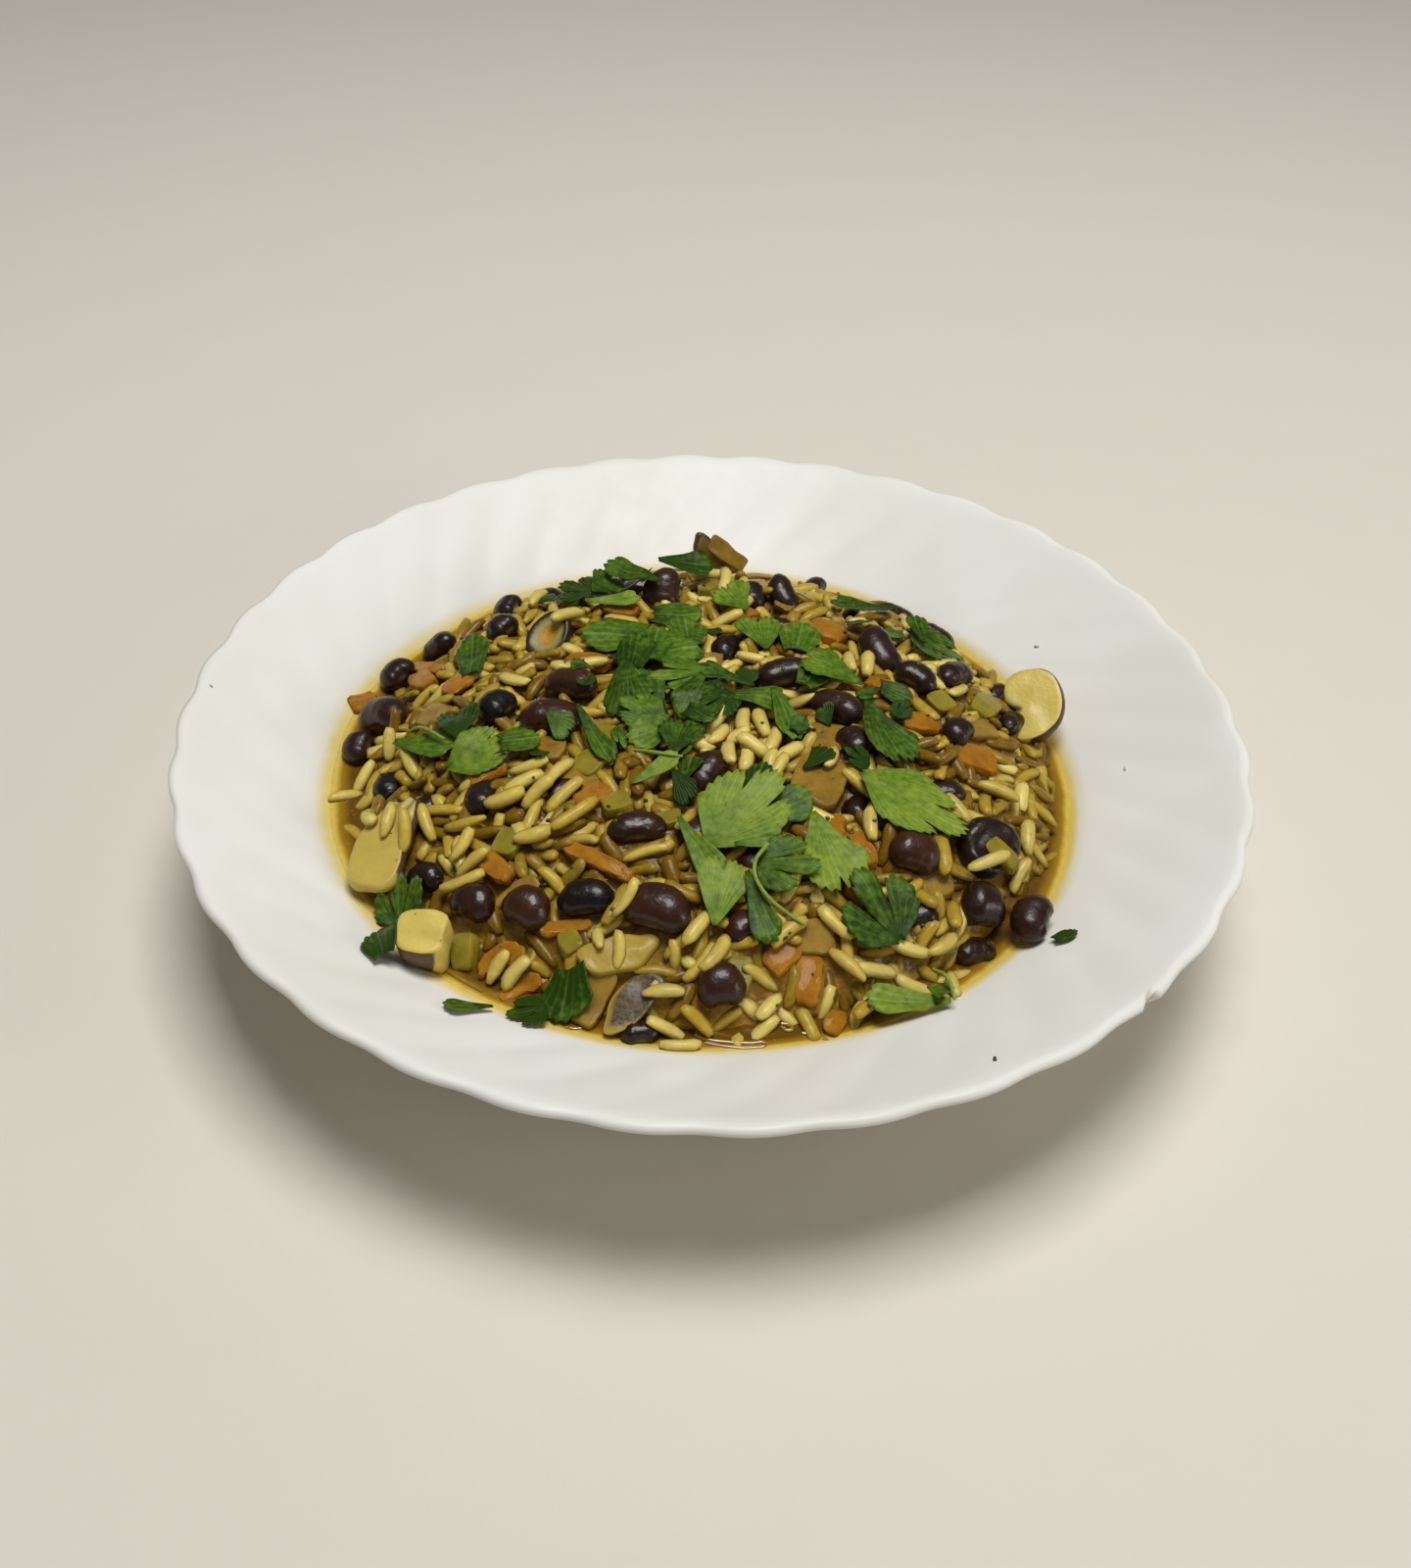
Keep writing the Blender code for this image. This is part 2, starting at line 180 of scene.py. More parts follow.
class MushroomSettings(bpy.types.PropertyGroup):
    flesh: colour("Flesh", "Colour of a fresh cut face", 228, 206, 108)
    flesh_soaked: colour("Soaked flesh", "Colour of flesh that has taken up broth", 176, 150, 58)
    skin: colour("Cap skin", "Colour of the cap's skin", 70, 50, 34)
    gills: colour("Gills", "Colour of the gills", 110, 92, 54)


class VegetableSettings(bpy.types.PropertyGroup):
    # Each darker colour is laid in patches and on the pieces' undersides; on the undersides it is
    # painted shade.
    carrot: colour("Carrot", "Colour of the carrot shreds", 212, 148, 38)
    carrot_dark: colour("Carrot, dark", "Colour of the carrot where it is wet", 170, 106, 18)
    celery: colour("Celery", "Colour of the celery cubes", 172, 150, 44)
    celery_green: colour("Celery, green", "Colour of the celery's outer side", 128, 122, 22)
    onion: colour("Onion", "Colour of the onion flakes", 172, 138, 50)
    onion_dark: colour("Onion, dark", "Colour of the onion where it is thick", 122, 88, 24)


class HerbSettings(bpy.types.PropertyGroup):
    thickness: length("Leaf thickness", "Thickness of a coriander leaf", 0.22)
    bright: colour("Underside", "Colour of a leaf's pale side", 132, 152, 50)
    green: colour("Upper side", "Colour of a leaf's upper side", 80, 112, 20)
    dark: colour("Dark leaf", "Colour of a wet leaf in the shade", 36, 62, 4)


SENSOR_WIDTH = 36  # of the camera, in its usual unit of millimetres


class StageSettings(bpy.types.PropertyGroup):
    floor: colour("Floor", "Colour of the floor", 226, 220, 208)
    floor_width: length("Floor width", "Side of the square floor", 6000)
    lens: FloatProperty(
        name="Lens",
        description="Focal length of the camera",
        subtype="DISTANCE_CAMERA",
        unit="CAMERA",
        default=1615 / 1600 * SENSOR_WIDTH,
    )


SETTINGS = (
    ("meal_plate", PlateSettings),
    ("meal_broth", BrothSettings),
    ("meal_rice", RiceSettings),
    ("meal_beans", BeanSettings),
    ("meal_mushrooms", MushroomSettings),
    ("meal_vegetables", VegetableSettings),
    ("meal_herbs", HerbSettings),
    ("meal_stage", StageSettings),
)


# ---------------------------------------------------------------- modelling by hand


def deselect():
    if bpy.context.mode != "OBJECT":
        bpy.ops.object.mode_set(mode="OBJECT")
    bpy.ops.object.select_all(action="DESELECT")


def choose(obj):
    """Select the object alone, and make it the active one."""
    deselect()
    obj.select_set(True)
    bpy.context.view_layer.objects.active = obj


def into_edit(obj, kind="VERT"):
    choose(obj)
    bpy.ops.object.mode_set(mode="EDIT")
    bpy.ops.mesh.select_mode(type=kind)
    bpy.ops.mesh.select_all(action="DESELECT")


def out_of_edit():
    bpy.ops.object.mode_set(mode="OBJECT")


def pick(obj, test):
    """In edit mode, select the points whose place passes the test, and nothing else."""
    bpy.ops.mesh.select_all(action="DESELECT")
    body = bmesh.from_edit_mesh(obj.data)
    for point in body.verts:
        if test(point.co):
            point.select_set(True)
    body.select_flush_mode()
    bmesh.update_edit_mesh(obj.data)


def apply_modifier(obj, kind, **values):
    choose(obj)
    modifier = obj.modifiers.new(kind.title(), kind)
    for name, value in values.items():
        setattr(modifier, name, value)
    bpy.ops.object.modifier_apply(modifier=modifier.name)


def spun(name, profile, steps):
    """A closed solid spun from a half section, given as (radius, height) from axis to axis."""
    deselect()
    bpy.ops.mesh.primitive_plane_add(size=0.01, location=(0, 0, 0))
    obj = bpy.context.object
    obj.name = name
    into_edit(obj)
    pick(obj, lambda at: not (at.x > 0 and at.y > 0))
    bpy.ops.mesh.delete(type="VERT")
    bpy.ops.mesh.select_all(action="SELECT")
    here = Vector((0.005, 0.005, 0.0))
    start = Vector((profile[0][0], 0.0, profile[0][1]))
    bpy.ops.transform.translate(value=start - here)
    here = start
    for radius, height in profile[1:]:
        there = Vector((radius, 0.0, height))
        bpy.ops.mesh.extrude_region_move(TRANSFORM_OT_translate={"value": there - here})
        here = there
    if profile[0][0] > 0:
        bpy.ops.mesh.select_all(action="SELECT")
        bpy.ops.mesh.select_non_manifold()
        pick_ends(obj, profile[0], profile[-1])
        bpy.ops.mesh.edge_face_add()
    bpy.ops.mesh.select_all(action="SELECT")
    bpy.ops.mesh.spin(steps=steps, angle=2 * math.pi, center=(0, 0, 0), axis=(0, 0, 1))
    bpy.ops.mesh.select_all(action="SELECT")
    bpy.ops.mesh.remove_doubles(threshold=0.00001)
    bpy.ops.mesh.normals_make_consistent(inside=False)
    out_of_edit()
    bpy.ops.object.shade_smooth()
    return obj


def pick_ends(obj, first, last):
    """Select the two ends of a half section."""
    ends = [Vector((first[0], 0.0, first[1])), Vector((last[0], 0.0, last[1]))]
    pick(obj, lambda at: min((at - end).length for end in ends) < 0.000005)


def points_of(obj):
    points = np.empty(len(obj.data.vertices) * 3)
    obj.data.vertices.foreach_get("co", points)
    return points.reshape(-1, 3)


def polar(points):
    """Each point's distance from the plate's axis, and its direction."""
    return np.hypot(points[:, 0], points[:, 1]), np.arctan2(points[:, 1], points[:, 0])


def set_points(obj, points):
    obj.data.vertices.foreach_set("co", np.asarray(points, float).ravel())
    obj.data.update()


def pattern_of(obj):
    """A modelled shape as its points and triangles, to copy from. The object itself goes."""
    into_edit(obj)
    bpy.ops.mesh.select_all(action="SELECT")
    bpy.ops.mesh.quads_convert_to_tris()
    out_of_edit()
    points = points_of(obj)
    triangles = np.array([tuple(face.vertices) for face in obj.data.polygons], int)
    bpy.data.objects.remove(obj, do_unlink=True)
    return points, triangles


def new_piece(name, points, triangles, marks, material, slot, replaces=()):
    """A smooth piece of its own from points and triangles, that rides on the frame."""
    mesh = bpy.data.meshes.new(name)
    mesh.vertices.add(len(points))
    mesh.vertices.foreach_set("co", np.asarray(points, np.float32).ravel())
    mesh.loops.add(3 * len(triangles))
    mesh.loops.foreach_set("vertex_index", np.asarray(triangles, np.int32).ravel())
    mesh.polygons.add(len(triangles))
    mesh.polygons.foreach_set("loop_start", np.arange(0, 3 * len(triangles), 3, dtype=np.int32))
    mesh.update(calc_edges=True)
    mesh.validate()
    obj = bpy.data.objects.new(name, mesh)
    bpy.context.scene.collection.objects.link(obj)
    mesh.shade_smooth()
    for mark, values in marks.items():
        mark_points(obj, mark, values)
    return dress(obj, material, replaces)


def mark_points(obj, name, values):
    attribute = obj.data.attributes.new(name, "FLOAT", "POINT")
    spread = np.broadcast_to(np.asarray(values, np.float32), len(attribute.data))
    attribute.data.foreach_set("value", np.ascontiguousarray(spread))


def dress(obj, material, replaces=()):
    obj.data.materials.clear()
    obj.data.materials.append(material)
    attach(obj, "root")
    if replaces:
        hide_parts(*replaces)
    return obj


def join_copies(copies):
    """Points, triangles and marks of many copies, each (points, triangles, {mark: value})."""
    points, triangles, marks, first = [], [], {}, 0
    for at, faces, values in copies:
        points.append(at)
        triangles.append(faces + first)
        first += len(at)
        for mark, value in values.items():
            marks.setdefault(mark, []).append(np.broadcast_to(value, len(at)))
    return (
        np.concatenate(points),
        np.concatenate(triangles),
        {mark: np.concatenate(values) for mark, values in marks.items()},
    )


def turned_by(yaw, pitch=0.0, roll=0.0):
    """Rotation of a piece that lies along X: rolled, nose up by the pitch, then headed."""
    turn = Matrix.Rotation(yaw, 3, "Z") @ Matrix.Rotation(-pitch, 3, "Y")
    return np.array(turn @ Matrix.Rotation(roll, 3, "X"))


def rough(points, size, depth, seed):
    """Points moved by smooth noise whose bumps have the size."""
    noise.seed_set(1)  # without it, noise_vector differs from run to run
    out = np.array(points)
    shift = Vector((seed * 3.71, seed * 1.37, seed * 2.11))
    for i, point in enumerate(out):
        move = noise.noise_vector(Vector(point) / size + shift)
        out[i] += np.array(move) * depth
    return out


# ---------------------------------------------------------------- finishes


class Finish:
    """A material while it is put together: its shader and the nodes that feed it."""

    def __init__(self, name, roughness, **sockets):
        self.material = bpy.data.materials.new(name)
        self.material.use_nodes = True
        self.tree = self.material.node_tree
        self.shader = self.tree.nodes["Principled BSDF"]
        self.shader.inputs["Roughness"].default_value = roughness
        for socket, value in sockets.items():
            self.shader.inputs[socket.replace("_", " ")].default_value = value
        place = self.tree.nodes.new("ShaderNodeTexCoord")
        self.place = place.outputs["Object"]

    def node(self, kind, *values, **settings):
        node = self.tree.nodes.new(kind)
        for name, value in settings.items():
            setattr(node, name, value)
        for socket, value in values:
            self.feed(node.inputs[socket], value)
        return node

    def output(self, name, kind, *values, **settings):
        """One output of a new node."""
        return self.node(kind, *values, **settings).outputs[name]

    def feed(self, socket, value):
        if isinstance(value, bpy.types.NodeSocket):
            self.tree.links.new(value, socket)
        elif hasattr(value, "__len__") and len(value) == 3 and socket.type == "RGBA":
            socket.default_value = (*value, 1.0)
        else:
            socket.default_value = value

    def noise(self, size, detail=3.0, rough=0.55, stretch=None):
        """Noise with bumps of about the size, in metres."""
        place = self.place
        if stretch:
            stretching = (("Vector", place), ("Scale", stretch))
            place = self.output("Vector", "ShaderNodeMapping", *stretching)
        values = (("Scale", 1.0 / size), ("Detail", detail), ("Roughness", rough))
        return self.output("Fac", "ShaderNodeTexNoise", ("Vector", place), *values)

    def cells(self, size):
        values = (("Vector", self.place), ("Scale", 1.0 / size))
        return self.output("Distance", "ShaderNodeTexVoronoi", *values)

    def mark(self, name):
        return self.output("Fac", "ShaderNodeAttribute", attribute_name=name)

    def mark_vector(self, name):
        return self.output("Vector", "ShaderNodeAttribute", attribute_name=name)

    def ramp(self, value, *stops):
        """Grey levels or colours, by position, from a value."""
        node = self.node("ShaderNodeValToRGB", (0, value))
        elements = node.color_ramp.elements
        while len(elements) < len(stops):
            elements.new(1.0)
        for element, (position, shade) in zip(elements, stops):
            element.position = position
            shades = shade if hasattr(shade, "__len__") else (shade, shade, shade)
            element.color = (*shades, 1.0)
        return node.outputs["Color"]

    def mix(self, share, first, second, blend="MIX"):
        node = self.node("ShaderNodeMix", data_type="RGBA", blend_type=blend)
        self.feed(node.inputs[0], share)
        self.feed(node.inputs[6], first)
        self.feed(node.inputs[7], second)
        return node.outputs[2]

    def math(self, operation, *values):
        node = self.node("ShaderNodeMath", operation=operation)
        for socket, value in zip(node.inputs, values):
            self.feed(socket, value)
        return node.outputs[0]

    def times(self, first, second):
        return self.math("MULTIPLY", first, second)

    def plus(self, first, second):
        return self.math("ADD", first, second)

    def uneven(self, depth, *noise):
        """A value that noise takes up and down round 0."""
        return self.times(self.math("SUBTRACT", self.noise(*noise), 0.5), depth)

    def patches(self, start, full, *noise):
        """Patches where noise is high: 0 up to the start, and 1 from the full value on."""
        return self.ramp(self.noise(*noise), (start, 0.0), (full, 1.0))

    def bump(self, height, distance, strength=1.0):
        values = (("Height", height), ("Distance", distance), ("Strength", strength))
        bump = self.node("ShaderNodeBump", *values)
        self.feed(self.shader.inputs["Normal"], bump.outputs["Normal"])

    def paint(self, colour):
        self.feed(self.shader.inputs["Base Color"], colour)

    def gloss(self, roughness):
        self.feed(self.shader.inputs["Roughness"], roughness)


# ---------------------------------------------------------------- heights over the plate


def upper_side(radius):
    """Height of the plate's upper side at a radius."""
    radii, heights = zip(*UPPER_SIDE)
    return np.interp(radius, radii, heights)


def outline(around):
    """The heap's radius in a direction, as a share of its mean radius."""
    lean = 0.022 * np.cos(around - math.radians(165))
    return 1.0 + lean + 0.008 * np.sin(3 * around + 0.8) + 0.005 * np.sin(7 * around)


def heap_height(x, y):
    """Height of the heap's top, as in the frame."""
    share = np.minimum(1.0, np.hypot(x, y) / (HEAP_RADIUS * outline(np.arctan2(y, x))))
    u, v = x / MM, y / MM
    waves = np.sin(0.21 * u + 1.1) * np.cos(0.17 * v) + 0.7 * np.sin(0.13 * u - 0.24 * v)
    relief = 0.55 * MM * waves * (1.0 - share**4)
    return BROTH_LEVEL + HEAP_RISE * (1.0 - share**HEAP_SHAPE) + relief


def five(grid):
    """The grid's inner values, and those of their four neighbours."""
    return grid[1:-1, 1:-1], grid[2:, 1:-1], grid[:-2, 1:-1], grid[1:-1, 2:], grid[1:-1, :-2]


def smoothed(heights, times):
    """The heights, each averaged with its neighbours a number of times."""
    for _ in range(times):
        own, right, left, back, front = five(heights)
        heights[1:-1, 1:-1] = (own * 2 + right + left + back + front) / 6
    return heights


class Ground:
    """What the next piece would rest on: heights on a square grid over the plate."""

    STEP = 0.4 * MM
    SPAN = 90 * MM
    SKY = 0.08  # a height over everything on the plate

    def __init__(self, core_drop):
        line = np.arange(-self.SPAN, self.SPAN + self.STEP / 2, self.STEP)
        self.x, self.y = np.meshgrid(line, line, indexing="ij")
        self.target = heap_height(self.x, self.y)
        self.height = np.maximum(self.target - core_drop, upper_side(np.hypot(self.x, self.y)))
        self.blocked = np.zeros(self.x.shape, bool)
        self.owner = np.full(self.x.shape, -1)

    def cell(self, value):
        return int(round((value + self.SPAN) / self.STEP))

    def window(self, x, y, reach):
        """The part of the grid within reach of a point."""
        count = int(math.ceil(reach / self.STEP))
        i, j = self.cell(x), self.cell(y)
        last = self.x.shape[0]
        return (
            slice(max(0, i - count), min(last, i + count + 1)),
            slice(max(0, j - count), min(last, j + count + 1)),
        )

    def add_solid(self, points, triangles, margin):
        """Take in a solid, and keep grains off it but for a margin along its outline."""
        tree = BVHTree.FromPolygons([tuple(p) for p in points], [tuple(t) for t in triangles])
        low, high = points.min(0), points.max(0)
        middle = (low + high) / 2
        down = Vector((0, 0, -1))
        for i in range(self.cell(low[0]), self.cell(high[0]) + 1):
            for j in range(self.cell(low[1]), self.cell(high[1]) + 1):
                hit = tree.ray_cast(Vector((self.x[i, j], self.y[i, j], self.SKY)), down)[0]
                if hit is None:
                    continue
                self.height[i, j] = max(self.height[i, j], hit.z)
                toward = Vector((self.x[i, j], self.y[i, j], hit.z))
                shift = Vector((toward.x - middle[0], toward.y - middle[1]))
                probe = toward.copy()
                if shift.length > 1e-6:
                    step = shift.normalized() * margin
                    probe.x, probe.y = probe.x + step.x, probe.y + step.y
                inner = tree.ray_cast(Vector((probe.x, probe.y, self.SKY)), down)[0]
                if inner is not None:
                    self.blocked[i, j] = True

    def softened(self, reach):
        """The heights spread to their highest neighbours and smoothed, for thin pieces."""
        spread = self.height.copy()
        for _ in range(int(reach / self.STEP)):
            spread[1:-1, 1:-1] = np.maximum.reduce(five(spread))
        return smoothed(spread, int(2 * reach / self.STEP))

    def sample(self, heights, x, y):
        """Heights at any places, between the grid's points."""
        u = np.clip((x + self.SPAN) / self.STEP, 0, heights.shape[0] - 1.001)
        v = np.clip((y + self.SPAN) / self.STEP, 0, heights.shape[1] - 1.001)
        i, j = u.astype(int), v.astype(int)
        s, t = u - i, v - j
        return (
            heights[i, j] * (1 - s) * (1 - t)
            + heights[i + 1, j] * s * (1 - t)
            + heights[i, j + 1] * (1 - s) * t
            + heights[i + 1, j + 1] * s * t
        )


def merged(name):
    """A CAD node's points and triangles, with its loose triangles merged."""
    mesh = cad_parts[name].data
    points = np.empty(len(mesh.vertices) * 3)
    mesh.vertices.foreach_get("co", points)
    points = points.reshape(-1, 3)
    triangles = np.array([tuple(face.vertices) for face in mesh.polygons], int)
    keys, back = np.unique(
        np.round(points / (0.001 * MM)).astype(np.int64), axis=0, return_inverse=True
    )
    return keys * 0.001 * MM, back.reshape(-1)[triangles]


def seat_of(name):
    """Where a CAD node lies: its middle, its axes from longest to shortest as columns with the
    last one up, and its extent along them as lowest and highest."""
    points, _ = merged(name)
    middle = points.mean(0)
    _, axes = np.linalg.eigh(np.cov((points - middle).T))
    axes = axes[:, ::-1]
    if axes[2, 2] < 0:
        axes[:, 2] *= -1
    local = (points - middle) @ axes
    if np.corrcoef(local[:, 1], local[:, 0] ** 2)[0, 1] > 0:
        axes[:, 1] *= -1
    axes[:, 0] = np.cross(axes[:, 1], axes[:, 2])
    local = (points - middle) @ axes
    return middle, axes, local.min(0), local.max(0)


def fit(points, seat):
    """A pattern's points stretched to fill a node's extent, and put where the node lies."""
    middle, axes, low, high = seat
    ours_low, ours_high = points.min(0), points.max(0)
    share = (points - ours_low) / (ours_high - ours_low)
    return middle + (low + share * (high - low)) @ axes.T


TOPPINGS = [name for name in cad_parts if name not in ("plate", "broth", "rice_heap")]


# ---------------------------------------------------------------- the plate


def smooth_profile(points, spacing):
    """More points on a soft line through the given ones, about the spacing apart."""
    line = []
    for i in range(len(points) - 1):
        before = points[max(0, i - 1)]
        here, there = points[i], points[i + 1]
        after = points[min(len(points) - 1, i + 2)]
        gap = math.dist(here, there)
        count = max(1, int(round(gap / spacing)))
        near, far = math.dist(before, here) or gap, math.dist(there, after) or gap
        lean_in = [(b - a) / (near + gap) * gap for a, b in zip(before, there)]
        lean_out = [(b - a) / (gap + far) * gap for a, b in zip(here, after)]
        for k in range(count):
            t = k / count
            weights = (
                2 * t**3 - 3 * t**2 + 1, t**3 - 2 * t**2 + t, -2 * t**3 + 3 * t**2, t**3 - t**2
            )
            parts = zip(here, lean_in, there, lean_out)
            line.append(tuple(sum(w * v for w, v in zip(weights, four)) for four in parts))
    line.append(points[-1])
    return [(max(0.0, radius), max(0.0, height)) for radius, height in line]


CHIP_HEADING = math.radians(-46.3)


def flute_rim(points, settings):
    """The turned plate's points, moved along the flutes' swirl, and in or out with each flute."""
    radius, around = polar(points)
    outward = np.clip((radius - WELL_RADIUS) / (PLATE_RADIUS - WELL_RADIUS), 0.0, 1.0)
    wave = np.cos(settings.flutes * (around - settings.flute_phase))
    wave = wave + 0.12 * (1.0 - np.cos(2 * settings.flutes * (around - settings.flute_phase)))
    fade = np.clip((outward - 0.04) / 0.3, 0.0, 1.0)
    radius = radius + settings.scallop_depth * wave * outward**3
    turned_to = around + settings.flute_turn * (1.0 - outward)
    lift = settings.flute_relief * wave * fade * fade * (3 - 2 * fade)
    high = points[:, 2] > 2 * MM
    height = points[:, 2] + np.where(high, lift, 0.0)
    return np.column_stack((radius * np.cos(turned_to), radius * np.sin(turned_to), height))


def chip_rim(points):
    """The rim's points with a small chip broken out of its edge, and how chipped each one is."""
    radius, around = polar(points)
    along = (around - CHIP_HEADING) * PLATE_RADIUS / (1.7 * MM)
    hollow = np.clip(1.0 - along**2, 0.0, 1.0) ** 0.5
    depth = hollow * (1.25 + 0.25 * np.sin(along * 5.0)) * MM
    edge = PLATE_RADIUS + 0.4 * MM - depth
    chipped = (radius > edge) & (hollow > 0)
    share = np.where(chipped, edge / np.maximum(radius, 1e-9), 1.0)
    out = points.copy()
    out[:, :2] *= share[:, None]
    return out, chipped.astype(float)


def opal_glass(settings):
    made = Finish("opal_glass", 0.34, IOR=1.45, Specular_IOR_Level=0.25)
    thick = made.patches(0.35, 0.65, 0.045, 2.0)
    glass = made.mix(thick, settings.glass, settings.glass_shade)
    film = made.times(made.mark("film"), made.plus(made.noise(0.004, 3.0), 0.5))
    film = made.ramp(film, (0.0, 0.0), (0.9, 1.0))
    glass = made.mix(film, glass, tint(228, 208, 124))
    made.paint(made.mix(made.mark("chipped"), glass, tint(196, 188, 170)))
    made.gloss(made.ramp(made.noise(0.006, 4.0), (0.3, 0.32), (0.8, 0.42)))
    made.bump(made.noise(0.012, 1.0), 0.00006)
    return made.material


class MEAL_OT_plate(bpy.types.Operator):
    """Turn the soup plate, press the flutes into its rim and chip its edge"""

    bl_idname = "meal.plate"
    bl_label = "Plate"

    def execute(self, context):
        settings = context.scene.meal_plate
        profile = smooth_profile(UPPER_SIDE + LOWER_SIDE, 2.2 * MM)
        plate = spun("plate_glass", profile, 432)
        points = flute_rim(points_of(plate), settings)
        points, chipped = chip_rim(points)
        set_points(plate, points)
        radius, around = polar(points)
        past = radius - contact_radius(around)
        spread = (1.2 + 0.9 * np.clip(-points[:, 0] / radius, 0, 1)) * MM
        film = np.exp(-((np.maximum(past, 0) / spread) ** 2))
        film = np.where(points[:, 2] > 8 * MM, film, 0.0)
        mark_points(plate, "film", film * (points[:, 2] > upper_side(radius) - 1.0 * MM))
        mark_points(plate, "chipped", chipped)
        dress(plate, opal_glass(settings), ["plate"])
        return {"FINISHED"}


# ---------------------------------------------------------------- the broth


# Where the broth clings to the grains in front, each a line of x, y in millimetres.
RIPPLES = (
    (
        (-2, -77.4), (0.5, -78.4), (4, -78.8), (8, -78.9), (11, -79), (9, -79.9), (4, -79.9),
        (0, -79.2),
    ),
    ((14, -73.8), (15.2, -74), (16, -75), (15, -75.4), (14, -74.6)),
    ((17.8, -76), (19.2, -76), (20.4, -74.8), (20, -74.2), (18.8, -75)),
    ((21.6, -77.2), (23, -77.9), (24.6, -77.6), (25.4, -78)),
    ((-26, -76.6), (-24.4, -77), (-22.8, -76.8)),
    ((-50, -63.4), (-46, -66.2), (-42, -68.8)),
    ((44, -69.6), (46.4, -68)),
)


def contact_radius(around):
    """Radius at which the broth meets the glass, in a direction: it lies a little askew."""
    radius = 81.2 + 2.0 * np.cos(around - math.radians(190))
    radius = radius + 0.25 * np.sin(5 * around) + 0.15 * np.sin(11 * around + 1.0)
    return radius * MM


def broth_surface(around):
    """Height of the broth in a direction, a meniscus below its contact with the glass."""
    return float(upper_side(contact_radius(around))) - 0.35 * MM


def broth_finish(settings):
    made = Finish("broth", 0.06, IOR=1.34, Coat_Weight=0.15, Coat_Roughness=0.04)
    depth = made.plus(made.mark("depth"), made.uneven(0.22, 0.006, 3.0))
    colours = (
        (0.0, settings.stain), (0.16, settings.stain), (0.36, settings.shallow),
        (0.75, settings.deep),
    )
    body = made.ramp(depth, *colours)
    cloud = made.patches(0.42, 0.75, 0.0022, 5.0, 0.65)
    body = made.mix(made.times(cloud, 0.25), body, tint(150, 108, 28))
    drops = made.ramp(made.cells(0.0021), (0.10, 1.0), (0.16, 0.0))
    body = made.mix(made.times(drops, 0.25), body, tint(214, 160, 60))
    made.paint(body)
    made.bump(made.noise(0.0035, 2.0), 0.00025, 0.7)
    return made.material


class MEAL_OT_broth(bpy.types.Operator):
    """Pour the ring of broth between the heap and the wall of the well"""

    bl_idname = "meal.broth"
    bl_label = "Broth"

    def execute(self, context):
        settings = context.scene.meal_broth
        shares = [0.0, 0.25, 0.45, 0.6, 0.7, 0.78, 0.85, 0.9, 0.94, 0.965, 0.985, 1.0, 1.02, 1.04]
        inner = 64.0 * MM
        across = 17.0 * MM
        level = BROTH_LEVEL
        top = [(inner + across * share, level) for share in shares]
        below = [
            (inner + across * share, level - 2 * MM - 4 * MM * (1 - share))
            for share in shares[-2::-1]
        ]
        broth = spun("broth_ring", top + below, 360)
        points = points_of(broth)
        radius, around = polar(points)
        share = (radius - inner) / across
        contact = contact_radius(around)
        radius = inner + share * (contact - inner)
        surface = upper_side(contact) - settings.meniscus
        climb = settings.meniscus * np.exp(-(contact - radius) / (0.9 * MM))
        upper = points[:, 2] > level - 1 * MM
        height = np.where(
            upper, surface + np.minimum(climb, settings.meniscus), upper_side(radius) - 0.12 * MM
        )
        set_points(
            broth, np.column_stack((radius * np.cos(around), radius * np.sin(around), height))
        )
        tilt = np.cos(around - math.radians(10))
        slope_width = (3.4 + 2.2 * np.maximum(tilt, 0.0) - 2.6 * np.minimum(tilt, 0.0)) * MM
        depth = np.clip((contact - radius) / slope_width, 0.0, 1.0)
        mark_points(broth, "depth", depth)
        dress(broth, broth_finish(settings), ["broth"])
        self.ripples(settings)
        return {"FINISHED"}

    def ripples(self, settings):
        """Rounded edges of the broth where it clings to the grains in front."""
        made = Finish(
            "broth_edge", 0.05, IOR=1.34, Coat_Weight=1.0, Coat_Roughness=0.03, Coat_IOR=2.0
        )
        made.paint(
            made.ramp(made.noise(0.002, 3.0), (0.3, settings.shallow), (0.7, tint(140, 100, 20)))
        )
        made.bump(made.noise(0.001, 2.0), 0.0001, 0.5)
        copies = []
        for line in RIPPLES:
            places = [
                (x * MM, y * MM, broth_surface(math.atan2(y, x)) + 0.10 * MM) for x, y in line
            ]
            points, triangles = tube(places, 0.42 * MM)
            copies.append((points, triangles, {}))
        new_piece("broth_edges", *join_copies(copies), made.material, "broth")


# ---------------------------------------------------------------- the beans

# How brown and how wrinkled each bean is, from 0 to 1.
BEAN_LOOKS = {
    "bean_front_shiny": (0.75, 0.02),
    "bean_front_black": (0.0, 0.15),
    "bean_front_brown": (0.85, 0.35),
    "bean_front_wrinkled": (0.55, 1.0),
    "bean_left_small": (0.2, 0.9),
    "bean_middle_low": (0.6, 0.6),
    "bean_middle_upright": (0.55, 0.5),
    "bean_near_edge": (0.6, 0.25),
    "bean_left_edge": (0.45, 0.35),
    "bean_left_large": (0.7, 0.1),
    "bean_left_black": (0.0, 0.1),
    "bean_left_brown": (0.8, 0.4),
    "bean_left_grey": (1.0, 0.7),
    "bean_back_upright": (0.75, 0.1),
    "bean_centre_long": (0.6, 0.3),
    "bean_right_long": (0.45, 0.45),
    "bean_right_tail": (0.45, 0.5),
    "bean_right_open": (0.3, 0.35),
    "bean_right_round": (0.45, 0.1),
    "bean_right_edge": (0.5, 0.2),
    "bean_right_brown": (0.9, 0.3),
}

OTHER_BEANS = (0.35, 0.3)

